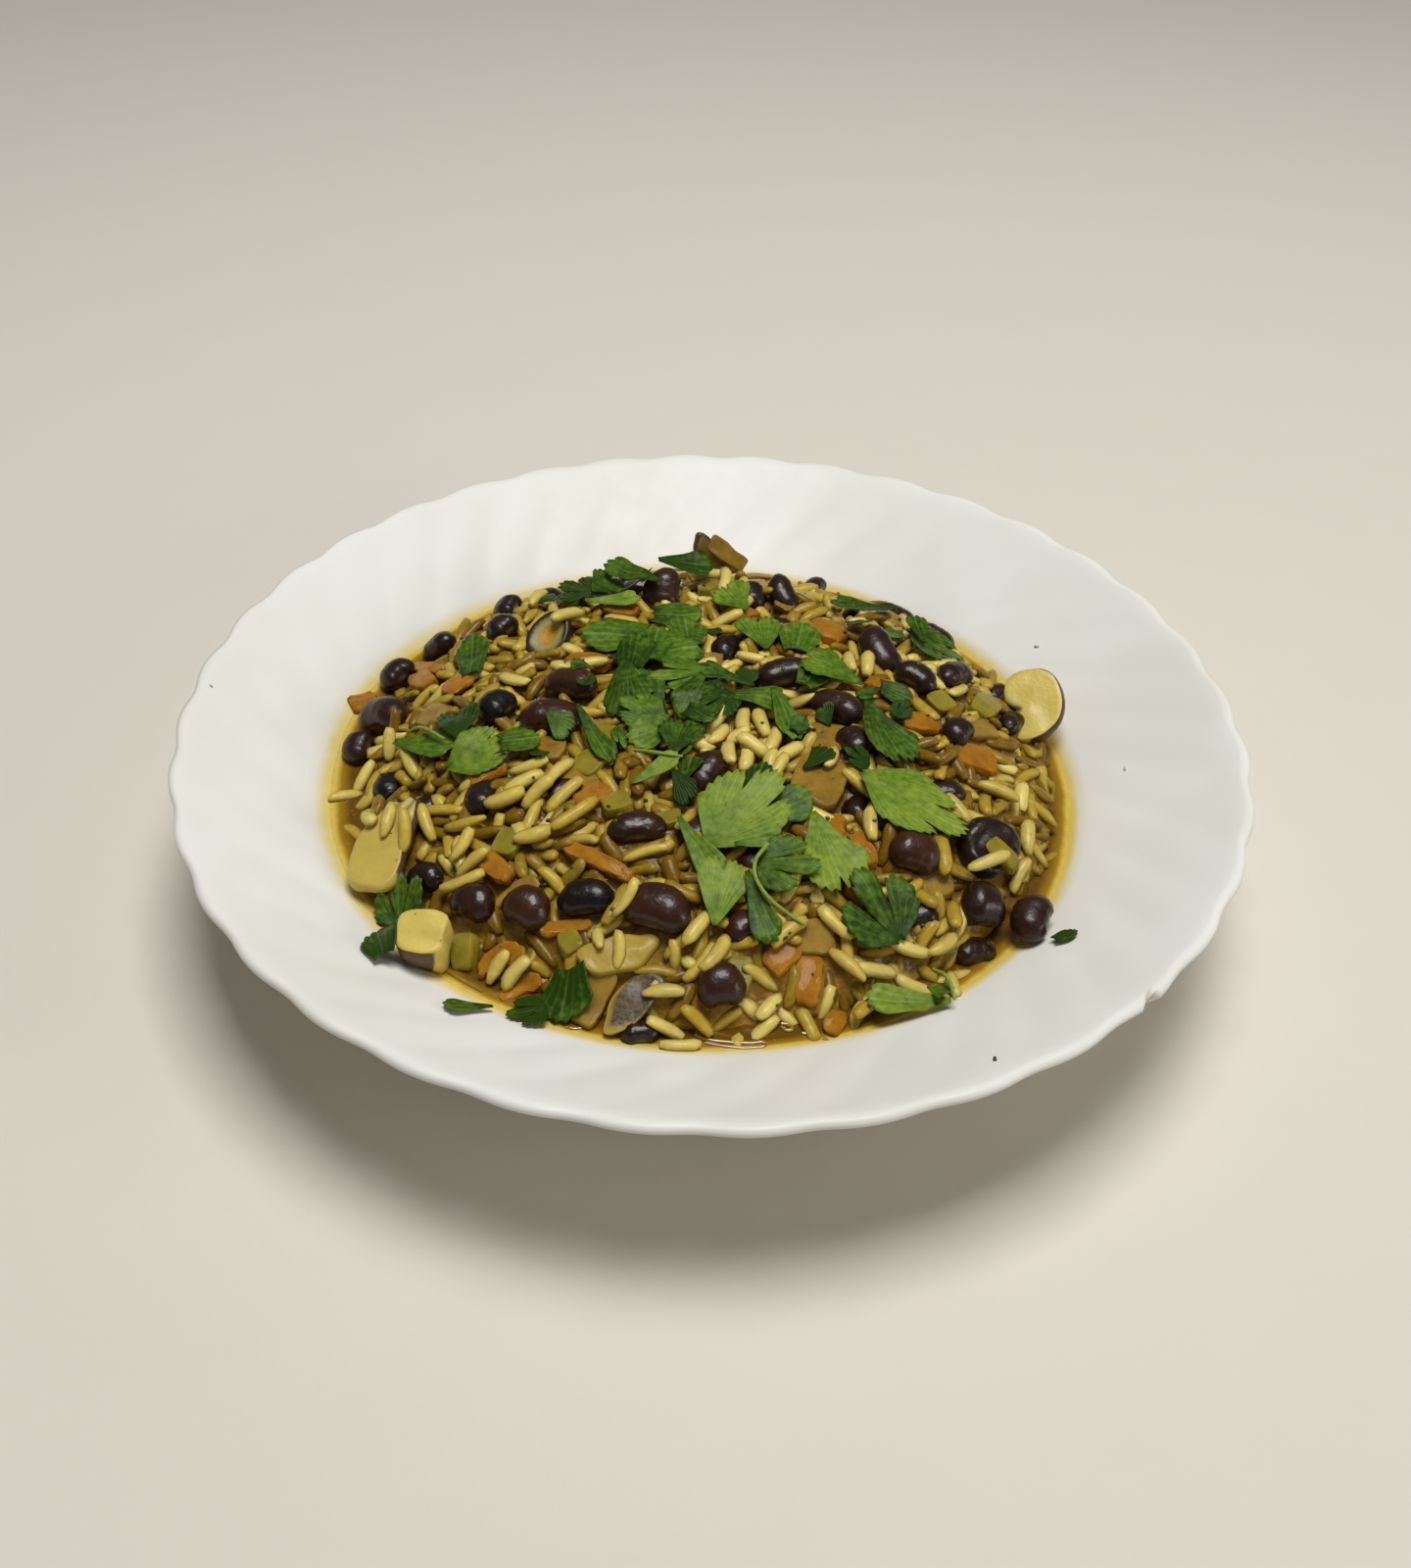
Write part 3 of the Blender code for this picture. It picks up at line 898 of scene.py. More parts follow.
# Beans that the rice half covers: x, y and yaw in millimetres and degrees, length, width, how
# far the middle lies under the heap's top in millimetres, brownness.
SUNK_BEANS = (
    (-46, -26, 70, 10.4, 7.6, 1.6, 0.3),
    (-30, -26, 20, 10.8, 7.4, 2, 0.9),
    (-68, -14, 80, 10, 7, 2.2, 0),
    (-12, -78, 10, 7.6, 5.4, -0.2, 0.2),
    (-50, 40, 30, 9, 6.8, 0.8, 0.1),
    (-41, 56, 50, 8.4, 6.4, 0.6, 0.3),
    (-20, 55, 5, 11, 6.6, 0.6, 0.2),
    (-2, 50, 60, 6.4, 5.2, 0.6, 0.1),
    (25, 66, 70, 8.6, 5.6, -0.8, 0.5),
    (3, 24, 60, 10, 7.2, 1, 0.2),
    (20, -8, 80, 7, 5.6, 0.8, 0.4),
    (41, -51, 10, 7.6, 6.2, 0.9, 0.2),
    (52, -54, 20, 9.4, 6.6, 1.2, 0.3),
    (7, -59, 30, 9, 7.2, 1.2, 0.8),
    (9, -44, 70, 9.6, 7, 1.6, 0.5),
    (67, 11, 60, 8.2, 5.6, 0, 0.3),
    (66, 26, 40, 8, 5.6, 1.2, 0.6),
    (48, -20, 10, 9.6, 7, 2.2, 0.4),
    (30, -28, 70, 8.6, 7, 2.4, 0.3),
    (-58, -24, 40, 9, 6.6, 2.6, 0.3),
    (-2, -38, 20, 10, 7, 2, 0.8),
    (-8, 30, 20, 9.6, 7, 2.2, 0.3),
    (34, 44, 120, 9.8, 6.6, 1.6, 0.2),
    (14, 34, 20, 9.4, 6.6, 1.4, 0.2),
)


def ball_along_x(segments, rings):
    """A ball of radius 1 with its poles on the X axis."""
    deselect()
    bpy.ops.mesh.primitive_uv_sphere_add(
        segments=segments, ring_count=rings, radius=1.0, rotation=(0, math.pi / 2, 0)
    )
    ball = bpy.context.object
    bpy.ops.object.transform_apply(location=False, rotation=True, scale=True)
    return ball


def model_bean():
    """A black bean modelled along X, bowed towards +Y, with the dent of its scar at -Y."""
    bean = ball_along_x(22, 24)
    into_edit(bean)
    for place, swell in ((0.55, 1.05), (-0.5, 1.07)):
        pick(bean, lambda at: abs(at.x - place) < 0.22)
        bpy.ops.transform.resize(value=(1.0, swell, swell))
    pick(bean, lambda at: at.y < -0.86 and abs(at.x) < 0.5)
    bpy.ops.transform.translate(value=(0, 0.09, 0))
    pick(bean, lambda at: abs(at.x) < 0.3)
    bpy.ops.transform.translate(value=(0, 0.07, 0))
    pick(bean, lambda at: abs(at.x) < 0.62)
    bpy.ops.transform.translate(value=(0, 0.06, 0))
    pick(bean, lambda at: abs(at.x) > 0.86)
    bpy.ops.transform.translate(value=(0, -0.06, 0))
    out_of_edit()
    apply_modifier(bean, "SMOOTH", factor=0.5, iterations=2)
    return pattern_of(bean)


def wrinkled(points, pattern, depth, seed):
    """A bean's points sunk along the folds of its skin."""
    middle = points.mean(0)
    out = points - middle
    reach = np.linalg.norm(out, axis=1)
    sink = np.zeros(len(points))
    for i, (x, y, z) in enumerate(pattern):
        fold = noise.noise(Vector((x * 1.5 + seed * 5.1, y * 2.2 + seed, z * 2.6 - seed)))
        fine = noise.noise(Vector((x * 3.4 - seed, y * 4.4 + seed * 2.3, z * 4.4)))
        sink[i] = max(0.0, 1.0 - abs(fold) * 5.0) + 0.35 * max(0.0, 1.0 - abs(fine) * 5.0)
    return middle + out * (1.0 - np.minimum(sink, 1.2) * depth / np.maximum(reach, 1e-6))[:, None]


def bean_marks(pattern, brownness):
    scar = np.exp(-((pattern[:, 0] / 0.24) ** 2) - ((pattern[:, 2] / 0.16) ** 2))
    return {"scar": scar * (pattern[:, 1] < 0), "brownness": brownness}


def bean_skin(settings):
    made = Finish(
        "bean_skin", 0.30, IOR=1.42, Specular_IOR_Level=0.4, Coat_Weight=0.22, Coat_Roughness=0.05
    )
    patches = made.patches(0.32, 0.72, 0.0045, 4.0, 0.6)
    share = made.times(made.mark("brownness"), made.plus(made.times(patches, 0.7), 0.5))
    skin = made.mix(share, settings.black, settings.brown)
    freckle = made.patches(0.60, 0.70, 0.0007, 3.0)
    skin = made.mix(made.times(freckle, 0.22), skin, tint(96, 64, 48))
    made.paint(made.mix(made.times(made.mark("scar"), 0.75), skin, settings.scar))
    made.gloss(made.ramp(made.noise(0.0022, 4.0), (0.3, 0.24), (0.75, 0.46)))
    folds = made.noise(0.0016, 3.0, 0.6, (1.0, 1.0, 1.6))
    made.bump(made.plus(folds, made.times(made.noise(0.0004, 2.0), 0.15)), 0.00032, 0.6)
    return made.material


class MEAL_OT_beans(bpy.types.Operator):
    """Place the whole beans where the frame has them, and the beans that the rice half covers"""

    bl_idname = "meal.beans"
    bl_label = "Beans"

    def execute(self, context):
        settings = context.scene.meal_beans
        skin = bean_skin(settings)
        pattern, triangles = model_bean()
        names = [name for name in TOPPINGS if name.startswith("bean_") and name != "bean_half"]
        for seed, name in enumerate(sorted(names)):
            brownness, folded = BEAN_LOOKS.get(name, OTHER_BEANS)
            points = fit(pattern, seat_of(name))
            points = wrinkled(points, pattern, settings.wrinkle * (0.12 + folded), seed)
            if name == "bean_left_large":
                points = self.cut_end(points, pattern)
            if name == "bean_right_open":
                points = self.hollow_out(points, pattern)
            new_piece(
                name + "_skin", points, triangles, bean_marks(pattern, brownness), skin, "bean",
                [name],
            )
        copies = []
        for seed, (x, y, yaw, long, wide, depth, brownness) in enumerate(SUNK_BEANS):
            size = np.array((long / 2, wide / 2, wide * 0.4)) * MM
            points = (pattern * size) @ turned_by(math.radians(yaw), 0.1 * math.sin(seed * 2.0)).T
            height = float(heap_height(x * MM, y * MM)) - depth * MM
            points += np.array((x * MM, y * MM, height))
            points = wrinkled(points, pattern, settings.wrinkle * 0.6, seed + 60)
            copies.append((points, triangles, bean_marks(pattern, brownness)))
            ground().add_solid(points, triangles, 1.6 * MM)
        new_piece("beans_half_covered", *join_copies(copies), skin, "bean")
        return {"FINISHED"}

    def hollow_out(self, points, pattern):
        """The bean with the top of its skin fallen in."""
        bowl = np.exp(-((pattern[:, 0] / 0.66) ** 4) - (pattern[:, 1] / 0.62) ** 4)
        bowl = bowl * (pattern[:, 2] > 0)
        points[:, 2] -= bowl * 0.62 * (points[:, 2].max() - points[:, 2].mean())
        return points

    def cut_end(self, points, pattern):
        """The bean with one end cut off flat."""
        axis = points[pattern[:, 0].argmax()] - points[pattern[:, 0].argmin()]
        reach = np.linalg.norm(axis)
        axis /= reach
        left = -1.0 if axis[0] > 0 else 1.0
        along = (points - points.mean(0)) @ axis * left
        over = np.maximum(0.0, along - 0.36 * reach)
        return points - np.outer(over * 0.85 * left, axis)


_ground = []


def ground():
    """The heights that the pieces rest on, made from the frame when first asked for."""
    if not _ground:
        made = Ground(bpy.context.scene.meal_rice.core_drop)
        for name in TOPPINGS:
            points, triangles = merged(name)
            made.add_solid(points, triangles, 0.9 * MM)
        _ground.append(made)
    return _ground[0]


# ---------------------------------------------------------------- the rice

# Grains that lie loose on top: x, y in millimetres, yaw and pitch in degrees, length and width in
# millimetres, and paleness from 0 to 1.
LOOSE_GRAINS = (
    # the bright upright clump in the middle
    (0.2, -5, 46, 18, 9.2, 2.9, 1), (-3, -12, 146, 8, 8.2, 3.1, 1),
    (3.4, -16.5, 93, 8, 9.2, 2.9, 1), (7, -15.5, 86, 8, 9.2, 2.9, 1),
    (4.4, -10, 20, 10, 7.6, 3.1, 1), (6.4, -5.5, 90, 20, 9.4, 3, 0.9),
    (10.2, -5, 104, 16, 9, 3, 0.9), (12.4, -8.5, 72, 12, 8.6, 2.9, 0.85),
    (15.6, -15, 48, 8, 9, 3, 1), (12, -17, 84, 5, 6.4, 2.8, 0.9), (8.4, -10.5, 150, 14, 8, 3, 1),
    (1.2, -9, 60, 12, 7.4, 2.8, 0.9),
    # the sticky clump on the left
    (-38, -24, 28, 4, 9.6, 3, 0.8), (-35, -27, 36, 6, 9, 2.8, 0.75),
    (-41.5, -26.5, 10, 0, 9, 3.2, 0.7), (-37.5, -20, 5, 4, 9.4, 2.6, 0.8),
    (-31, -22, 60, 8, 9, 2.6, 0.8), (-29.5, -27.5, 48, 4, 10.4, 2.6, 0.65),
    # the large yellow grains at the front right
    (38, -57, 4, 2, 11, 3, 1), (31.5, -61.5, 12, 0, 10, 2.9, 0.95),
    (40, -61.6, 176, 2, 10.5, 2.9, 0.95), (47.5, -60, 24, 4, 9.6, 2.7, 0.8),
    (45, -54, 40, 6, 8.4, 2.7, 0.75), (35.5, -52, 62, 14, 7.4, 2.6, 0.85),
    (24, -56.5, 140, 5, 9, 2.7, 0.8), (26.5, -61.5, 135, 3, 9.2, 2.7, 0.7),
    (15.5, -49, 62, 12, 9.2, 2.8, 0.8), (15, -59.5, 40, 0, 9, 2.8, 0.6),
    (47, -63.5, 96, 10, 6.8, 2.4, 0.9),
    # on the beans and the mushroom
    (-15.6, -55, 50, 4, 8.8, 2.2, 0.8), (55, -34.4, 24, 2, 9.8, 2.7, 0.95),
    (-69.5, -25, 108, 8, 7.8, 3, 1), (-65, -26.5, 84, 8, 8, 2.6, 0.8),
    (-61, -30.5, 96, 4, 10, 2.4, 0.6), (-57.5, -30, 115, 4, 9, 2.6, 0.7),
    # round the carrot and the beans at the front left
    (-46.5, -42, 20, 8, 9, 2.5, 0.7), (-49, -38, 60, 6, 8.4, 2.5, 0.7),
    (-35, -38, 8, 4, 8, 3.2, 0.7), (-36, -64, 38, 8, 8.2, 2.8, 0.95),
    (-39.5, -62.5, 50, 8, 7.4, 2.8, 0.85), (-48, -47.5, 12, 6, 10.2, 2.6, 0.7),
    (-27, -33.5, 42, 5, 12, 2.7, 0.5), (-12.5, -43.5, 8, 4, 9.4, 2.2, 0.7),
    (-20.5, -61.5, 100, 6, 6.4, 2.2, 0.95), (-16.5, -61, 88, 6, 7.4, 2.2, 0.75),
    (-2, -60, 55, 6, 9, 2.7, 0.8), (-8, -70.5, 4, 6, 8, 2.8, 0.9),
    (-7, -75.5, 178, 2, 9.6, 2.6, 0.95), (-4.5, -80.5, 6, 2, 8, 2.3, 1),
    (10.5, -74, 42, 6, 8.2, 2.7, 1), (6, -73, 80, 4, 5, 2.6, 0.8),
    (-1.5, -75, 150, 2, 8, 2.5, 0.45), (19, -72, 115, 4, 9, 2.6, 0.5),
    (28.5, -70.5, 64, 3, 9, 2.5, 0.7), (30, -66.5, 48, 4, 8.4, 2.5, 0.5),
    (1.5, -64.5, 60, 5, 9.6, 2.8, 0.7),
    # at the left edge and behind
    (-75, -8, 60, 10, 8.4, 2.5, 0.9), (-78.5, -12, 30, 6, 8, 2.6, 0.85),
    (-70, 0, 90, 14, 7.6, 2.6, 0.8), (-31.5, 12.5, 10, 4, 9.2, 3.2, 0.8),
    (-28, 17, 14, 4, 9.2, 2.8, 0.9), (-34, 35, 44, 6, 10, 2.8, 0.8),
    (-24, 46, 160, 4, 9.4, 2.6, 0.9), (-29, 44, 120, 12, 8, 3, 0.95),
    (-43, 52, 70, 10, 8, 2.8, 0.9), (-2, 62, 150, 10, 9, 3, 0.9), (2, 56.5, 85, 12, 9.4, 2.6, 0.9),
    (24, 20, 165, 6, 9.6, 2.5, 0.8), (30.3, 20.4, 92, 10, 7.4, 2.8, 0.9),
    (34, 22, 84, 10, 7.4, 3, 0.85), (60, -15.5, 160, 3, 9.4, 2.8, 0.7),
    (65.5, -24, 85, 10, 8.6, 3, 0.8), (62.5, -31, 60, 10, 8.6, 2.5, 0.8),
    (46, -37, 94, 2, 10, 2.9, 0.4), (30, -22, 140, 4, 9, 2.7, 0.7),
    (34.5, -29.5, 172, 4, 7, 2.8, 0.7), (31.5, -34, 90, 14, 8.4, 2.8, 0.8),
    (24.5, -16, 76, 14, 9.2, 2.2, 1), (13, -18, 60, 8, 9, 2.5, 0.8),
)


def model_grain(blunt, taper, seed):
    """A cooked grain along X, from -1 to 1 each way: blunt, lumpy, and drawn in at one end."""
    grain = ball_along_x(8, 7)
    into_edit(grain)
    pick(grain, lambda at: 0.5 < abs(at.x) < 0.99)
    bpy.ops.transform.resize(value=(1.0, blunt, blunt))
    pick(grain, lambda at: 0.8 < abs(at.x) < 0.99)
    bpy.ops.transform.resize(value=(1.03, 1.16, 1.16))
    pick(grain, lambda at: at.x < -0.5)
    bpy.ops.transform.resize(value=(1.0, taper, taper))
    out_of_edit()
    points, triangles = pattern_of(grain)
    return rough(points, 0.9, 0.13, seed), triangles


def ellipsoid(turn, half, along_x, along_y):
    """Where upright lines meet a turned ellipsoid at the origin: its underside and its top."""
    shape = turn @ np.diag(1.0 / half**2) @ turn.T
    b = 2 * (shape[0, 2] * along_x + shape[1, 2] * along_y)
    c = (
        shape[0, 0] * along_x**2
        + 2 * shape[0, 1] * along_x * along_y
        + shape[1, 1] * along_y**2
        - 1.0
    )
    inside = b * b - 4 * shape[2, 2] * c
    root = np.sqrt(np.maximum(inside, 0.0))
    return inside > 0, (-b - root) / (2 * shape[2, 2]), (-b + root) / (2 * shape[2, 2])


def settle(heights, x, y, yaw, half, pitch=None, tilt=0.0, press=0.7):
    """Turn and height of a grain set down on the heights, a little pressed into them."""
    rows, columns = heights.window(x, y, half[0])
    across_x, across_y = heights.x[rows, columns] - x, heights.y[rows, columns] - y
    under = heights.height[rows, columns]
    along = across_x * math.cos(yaw) + across_y * math.sin(yaw)
    aside = -across_x * math.sin(yaw) + across_y * math.cos(yaw)
    near = (along / half[0]) ** 2 + (aside / (half[1] * 1.2)) ** 2 < 1.0
    if near.sum() < 4:
        return None
    if pitch is None:
        spread = along[near] - along[near].mean()
        slope = float((spread * (under[near] - under[near].mean())).sum() / (spread**2).sum())
        pitch = max(-0.6, min(0.6, math.atan(slope))) + tilt
    turn = turned_by(yaw, pitch)
    inside, bottom, top = ellipsoid(turn, half, across_x, across_y)
    if inside.sum() < 4:
        return None
    rise = float(np.quantile((under - bottom)[inside], press))
    return turn, rise, (rows, columns), inside, top


class Heap:
    """The grains as they are laid, over the ground that they raise."""

    SPACING = 2.5 * MM  # between the places that one sweep tries
    SWEEPS = 9
    FEW = 12  # a sweep that lays fewer grains is the last
    AFLOAT = 230  # grains tried in the broth
    LOOSE = 2.0  # what a loose grain's paleness is raised by, to tell it from the others

    def __init__(self, over, settings):
        self.over = over
        self.settings = settings
        self.random = np.random.default_rng(settings.seed)
        self.grains = []

    def put(self, x, y, turn, rise, half, place, paleness):
        (rows, columns), inside, top = place
        reach = np.where(inside, top + rise, -1.0)
        higher = reach > self.over.height[rows, columns]
        self.over.height[rows, columns] = np.where(higher, reach, self.over.height[rows, columns])
        owner = self.over.owner[rows, columns]
        self.over.owner[rows, columns] = np.where(higher, len(self.grains), owner)
        self.grains.append((np.array((x, y, rise)), turn, half, paleness))

    def try_grain(self, x, y, tolerance):
        """Lay a grain at a place, unless it would cover a topping or stand over the heap."""
        random = self.random
        long, wide = self.settings.grain_length, self.settings.grain_width
        half = np.array((long, wide, wide * 0.80)) / 2
        spans = ((0.78, 1.10), (0.84, 1.12), (0.85, 1.05))
        half = half * [random.uniform(*span) for span in spans]
        if random.random() < 0.2:
            half[0] *= 0.62
        yaw = random.uniform(0, math.pi)
        found = settle(self.over, x, y, yaw, half, tilt=random.normal(0.0, 0.2), press=0.52)
        if found is None:
            return False
        turn, rise, (rows, columns), inside, top = found
        if self.over.blocked[rows, columns][inside].mean() > 0.16:
            return False
        radius, around = math.hypot(x, y), math.atan2(y, x)
        edge = min(contact_radius(around) - 3.4 * MM, HEAP_RADIUS * outline(around) - 1.2 * MM)
        if radius > edge:
            return False
        lump = noise.noise(Vector((x, y, 0.0)) / (8.5 * MM)) * 1.9 * MM
        limit = heap_height(x, y) + tolerance + lump + random.normal(0.0, 0.35) * MM
        if rise + half[2] * 0.8 > limit or random.random() < 0.5 * sparse(x, y):
            return False
        # Grains left of the middle are painted darker: a painted shade for the shade on the heap's
        # left side.
        mean = 0.62 - 0.36 * float(wetness(x, y)) - 0.22 * float(x < -12 * MM)
        mean = mean + 0.25 * float(y < -48 * MM and x > 0)
        paleness = np.clip(random.normal(mean, 0.36), 0.0, 1.0)
        self.put(x, y, turn, rise, half, ((rows, columns), inside, top), paleness)
        return True

    def fill(self):
        """Sweep over the heap until no more grains go in."""
        for _ in range(self.SWEEPS):
            line = np.arange(-84 * MM, 84 * MM, self.SPACING)
            places = np.array([(x, y) for x in line for y in line])
            places += self.random.uniform(-0.5, 0.5, places.shape) * self.SPACING
            radius = np.hypot(places[:, 0], places[:, 1])
            edge = HEAP_RADIUS * outline(np.arctan2(places[:, 1], places[:, 0])) + 1.5 * MM
            places = self.random.permutation(places[radius < edge])
            laid = sum(self.try_grain(x, y, 0.3 * MM) for x, y in places)
            if laid < self.FEW:
                break

    def strew(self):
        """The loose grains, which may lie on the toppings."""
        for x, y, yaw, pitch, long, wide, paleness in LOOSE_GRAINS:
            half = np.array((long, wide * 1.14, wide * 0.92)) * MM / 2
            lean = math.radians(pitch)
            found = settle(self.over, x * MM, y * MM, math.radians(yaw), half, tilt=lean, press=0.8)
            if not found:
                continue
            up = found[1] - float(heap_height(x * MM, y * MM))
            at_y = y * MM - nearer(y * MM, np.clip(up, 0.0, 5 * MM))
            found = settle(self.over, x * MM, at_y, math.radians(yaw), half, tilt=lean, press=0.8)
            if found:
                turn, rise, *place = found
                rise = min(rise, TOP - math.hypot(half[0] * math.sin(lean), half[2]) - 0.2 * MM)
                self.put(x * MM, at_y, turn, rise, half, place, paleness + self.LOOSE)

    def float_in_broth(self):
        """Grains that lie in the broth round the heap, with little of them dry."""
        for _ in range(self.AFLOAT):
            around = self.random.uniform(-math.pi, math.pi)
            edge = HEAP_RADIUS * float(outline(around))
            radius = self.random.uniform(edge - 3.0 * MM, float(contact_radius(around)) - 3.2 * MM)
            x, y = radius * math.cos(around), radius * math.sin(around)
            long, wide = self.random.uniform(3.6, 4.8), self.random.uniform(1.2, 1.45)
            half = np.array((long, wide, 1.15)) * MM
            yaw = around + math.pi / 2 + self.random.normal(0.0, 0.6)
            turn = turned_by(yaw, self.random.normal(0.0, 0.08))
            rows, columns = self.over.window(x, y, half[0])
            over_x, over_y = self.over.x[rows, columns] - x, self.over.y[rows, columns] - y
            inside, _, top = ellipsoid(turn, half, over_x, over_y)
            if inside.sum() < 4 or self.over.blocked[rows, columns][inside].mean() > 0.05:
                continue
            rise = broth_surface(around) - half[2] + self.random.uniform(0.25, 0.8) * MM
            if (self.over.height[rows, columns][inside] > rise + half[2] * 0.7).mean() > 0.25:
                continue
            self.put(x, y, turn, rise, half, ((rows, columns), inside, top), 0.45)

    def seen(self, sauce):
        """The grains that some of the heap's top belongs to."""
        self.over.owner[self.over.height < sauce] = -1
        owners, cells = np.unique(self.over.owner, return_counts=True)
        kept = {int(owner) for owner, count in zip(owners, cells) if owner >= 0 and count >= 3}
        return [grain for i, grain in enumerate(self.grains) if i in kept]


def sparse(x, y):
    """Where little rice lies, from 0 to 1: among the beans at the front left, and by the broth."""
    left = math.exp(-(((x + 40 * MM) / (20 * MM)) ** 2) - ((y + 50 * MM) / (13 * MM)) ** 2)
    front = math.exp(-(((x - 8 * MM) / (24 * MM)) ** 2) - ((y + 66 * MM) / (10 * MM)) ** 2)
    return max(left, 0.8 * front)


def wetness(x, y):
    """How wet the heap is at a place, from 0 to 1: most in front and on the right. Where it is low,
    the sauce between the grains is also painted darker, a painted shade in the deeper gaps.
    """
    lean = 0.5 + 0.5 * np.tanh((0.55 * x - 0.80 * y) / (30 * MM) - 0.3)
    waves = 0.5 * np.sin(x / (9.0 * MM) + 1.3 * np.sin(y / (11.0 * MM)))
    patches = 0.5 + waves * np.cos(y / (8.0 * MM) + 0.6)
    rim = np.clip((np.hypot(x, y) / HEAP_RADIUS - 0.86) / 0.14, 0.0, 1.0)
    return np.clip(0.55 * lean + 0.35 * patches + 0.4 * rim, 0.0, 1.0)


def sauce_heights(over):
    """The top of the thick sauce that joins the grains: higher where the heap is wetter."""
    heights = smoothed(np.minimum(over.height, over.target + 0.5 * MM), 14)
    return heights - (1.55 - 1.15 * wetness(over.x, over.y)) * MM


def grain_finish(settings):
    made = Finish(
        "cooked_rice", 0.36, IOR=1.36, Specular_IOR_Level=0.3, Coat_Weight=0.1, Coat_Roughness=0.10,
        Subsurface_Weight=0.15, Subsurface_Scale=0.0012,
    )
    paleness = made.mark("paleness")
    cloud = made.uneven(0.5, 0.0016, 3.0)
    shades = ((0.0, settings.soaked), (0.5, settings.cream), (1.0, settings.pale))
    grain = made.ramp(made.plus(paleness, cloud), *shades)
    soak = made.plus(made.mark("soak"), made.uneven(0.7, 0.007, 3.0))
    grain = made.mix(made.ramp(soak, (0.15, 0.0), (1.0, 0.85)), grain, settings.sauce)
    fleck = made.patches(0.70, 0.76, 0.0009, 2.0)
    grain = made.mix(made.times(fleck, 0.35), grain, tint(120, 92, 34))
    # Each grain is painted darker where it turns away from the camera: a painted shade round its
    # outline, standing in for its translucency.
    painted_outline_shade = made.node("ShaderNodeLayerWeight", ("Blend", 0.42)).outputs["Facing"]
    made.paint(made.mix(made.times(painted_outline_shade, 0.6), grain, tint(118, 90, 20)))
    made.gloss(made.ramp(made.noise(0.002, 3.0), (0.35, 0.20), (0.7, 0.38)))
    made.bump(made.noise(0.0006, 3.0, 0.6), 0.00008, 0.6)
    return made.material


def sauce_finish():
    made = Finish(
        "thick_sauce", 0.22, IOR=1.34, Specular_IOR_Level=0.35, Coat_Weight=0.22,
        Coat_Roughness=0.04,
    )
    cloud = made.ramp(
        made.noise(0.003, 5.0, 0.65), (0.30, tint(126, 88, 14)), (0.50, tint(160, 118, 26)),
        (0.70, tint(190, 142, 44)),
    )
    dark = made.ramp(made.noise(0.008, 3.0), (0.38, 1.0), (0.62, 0.0))
    body = made.mix(made.times(dark, 0.4), cloud, tint(92, 62, 10))
    mash = made.patches(0.45, 0.66, 0.0016, 4.0, 0.6)
    # Where the heap is least wet, the sauce lies deepest between the grains and is painted darker
    # there: painted shade in the gaps.
    gap_shade = made.math("SUBTRACT", 1.0, made.mark("wet"))
    body = made.mix(made.times(gap_shade, 0.9), body, tint(54, 40, 10))
    made.paint(made.mix(made.times(mash, 0.25), body, tint(176, 142, 48)))
    made.gloss(made.ramp(made.noise(0.0015, 3.0), (0.35, 0.10), (0.7, 0.32)))
    made.bump(made.noise(0.0011, 4.0, 0.6), 0.0005, 0.7)
    return made.material


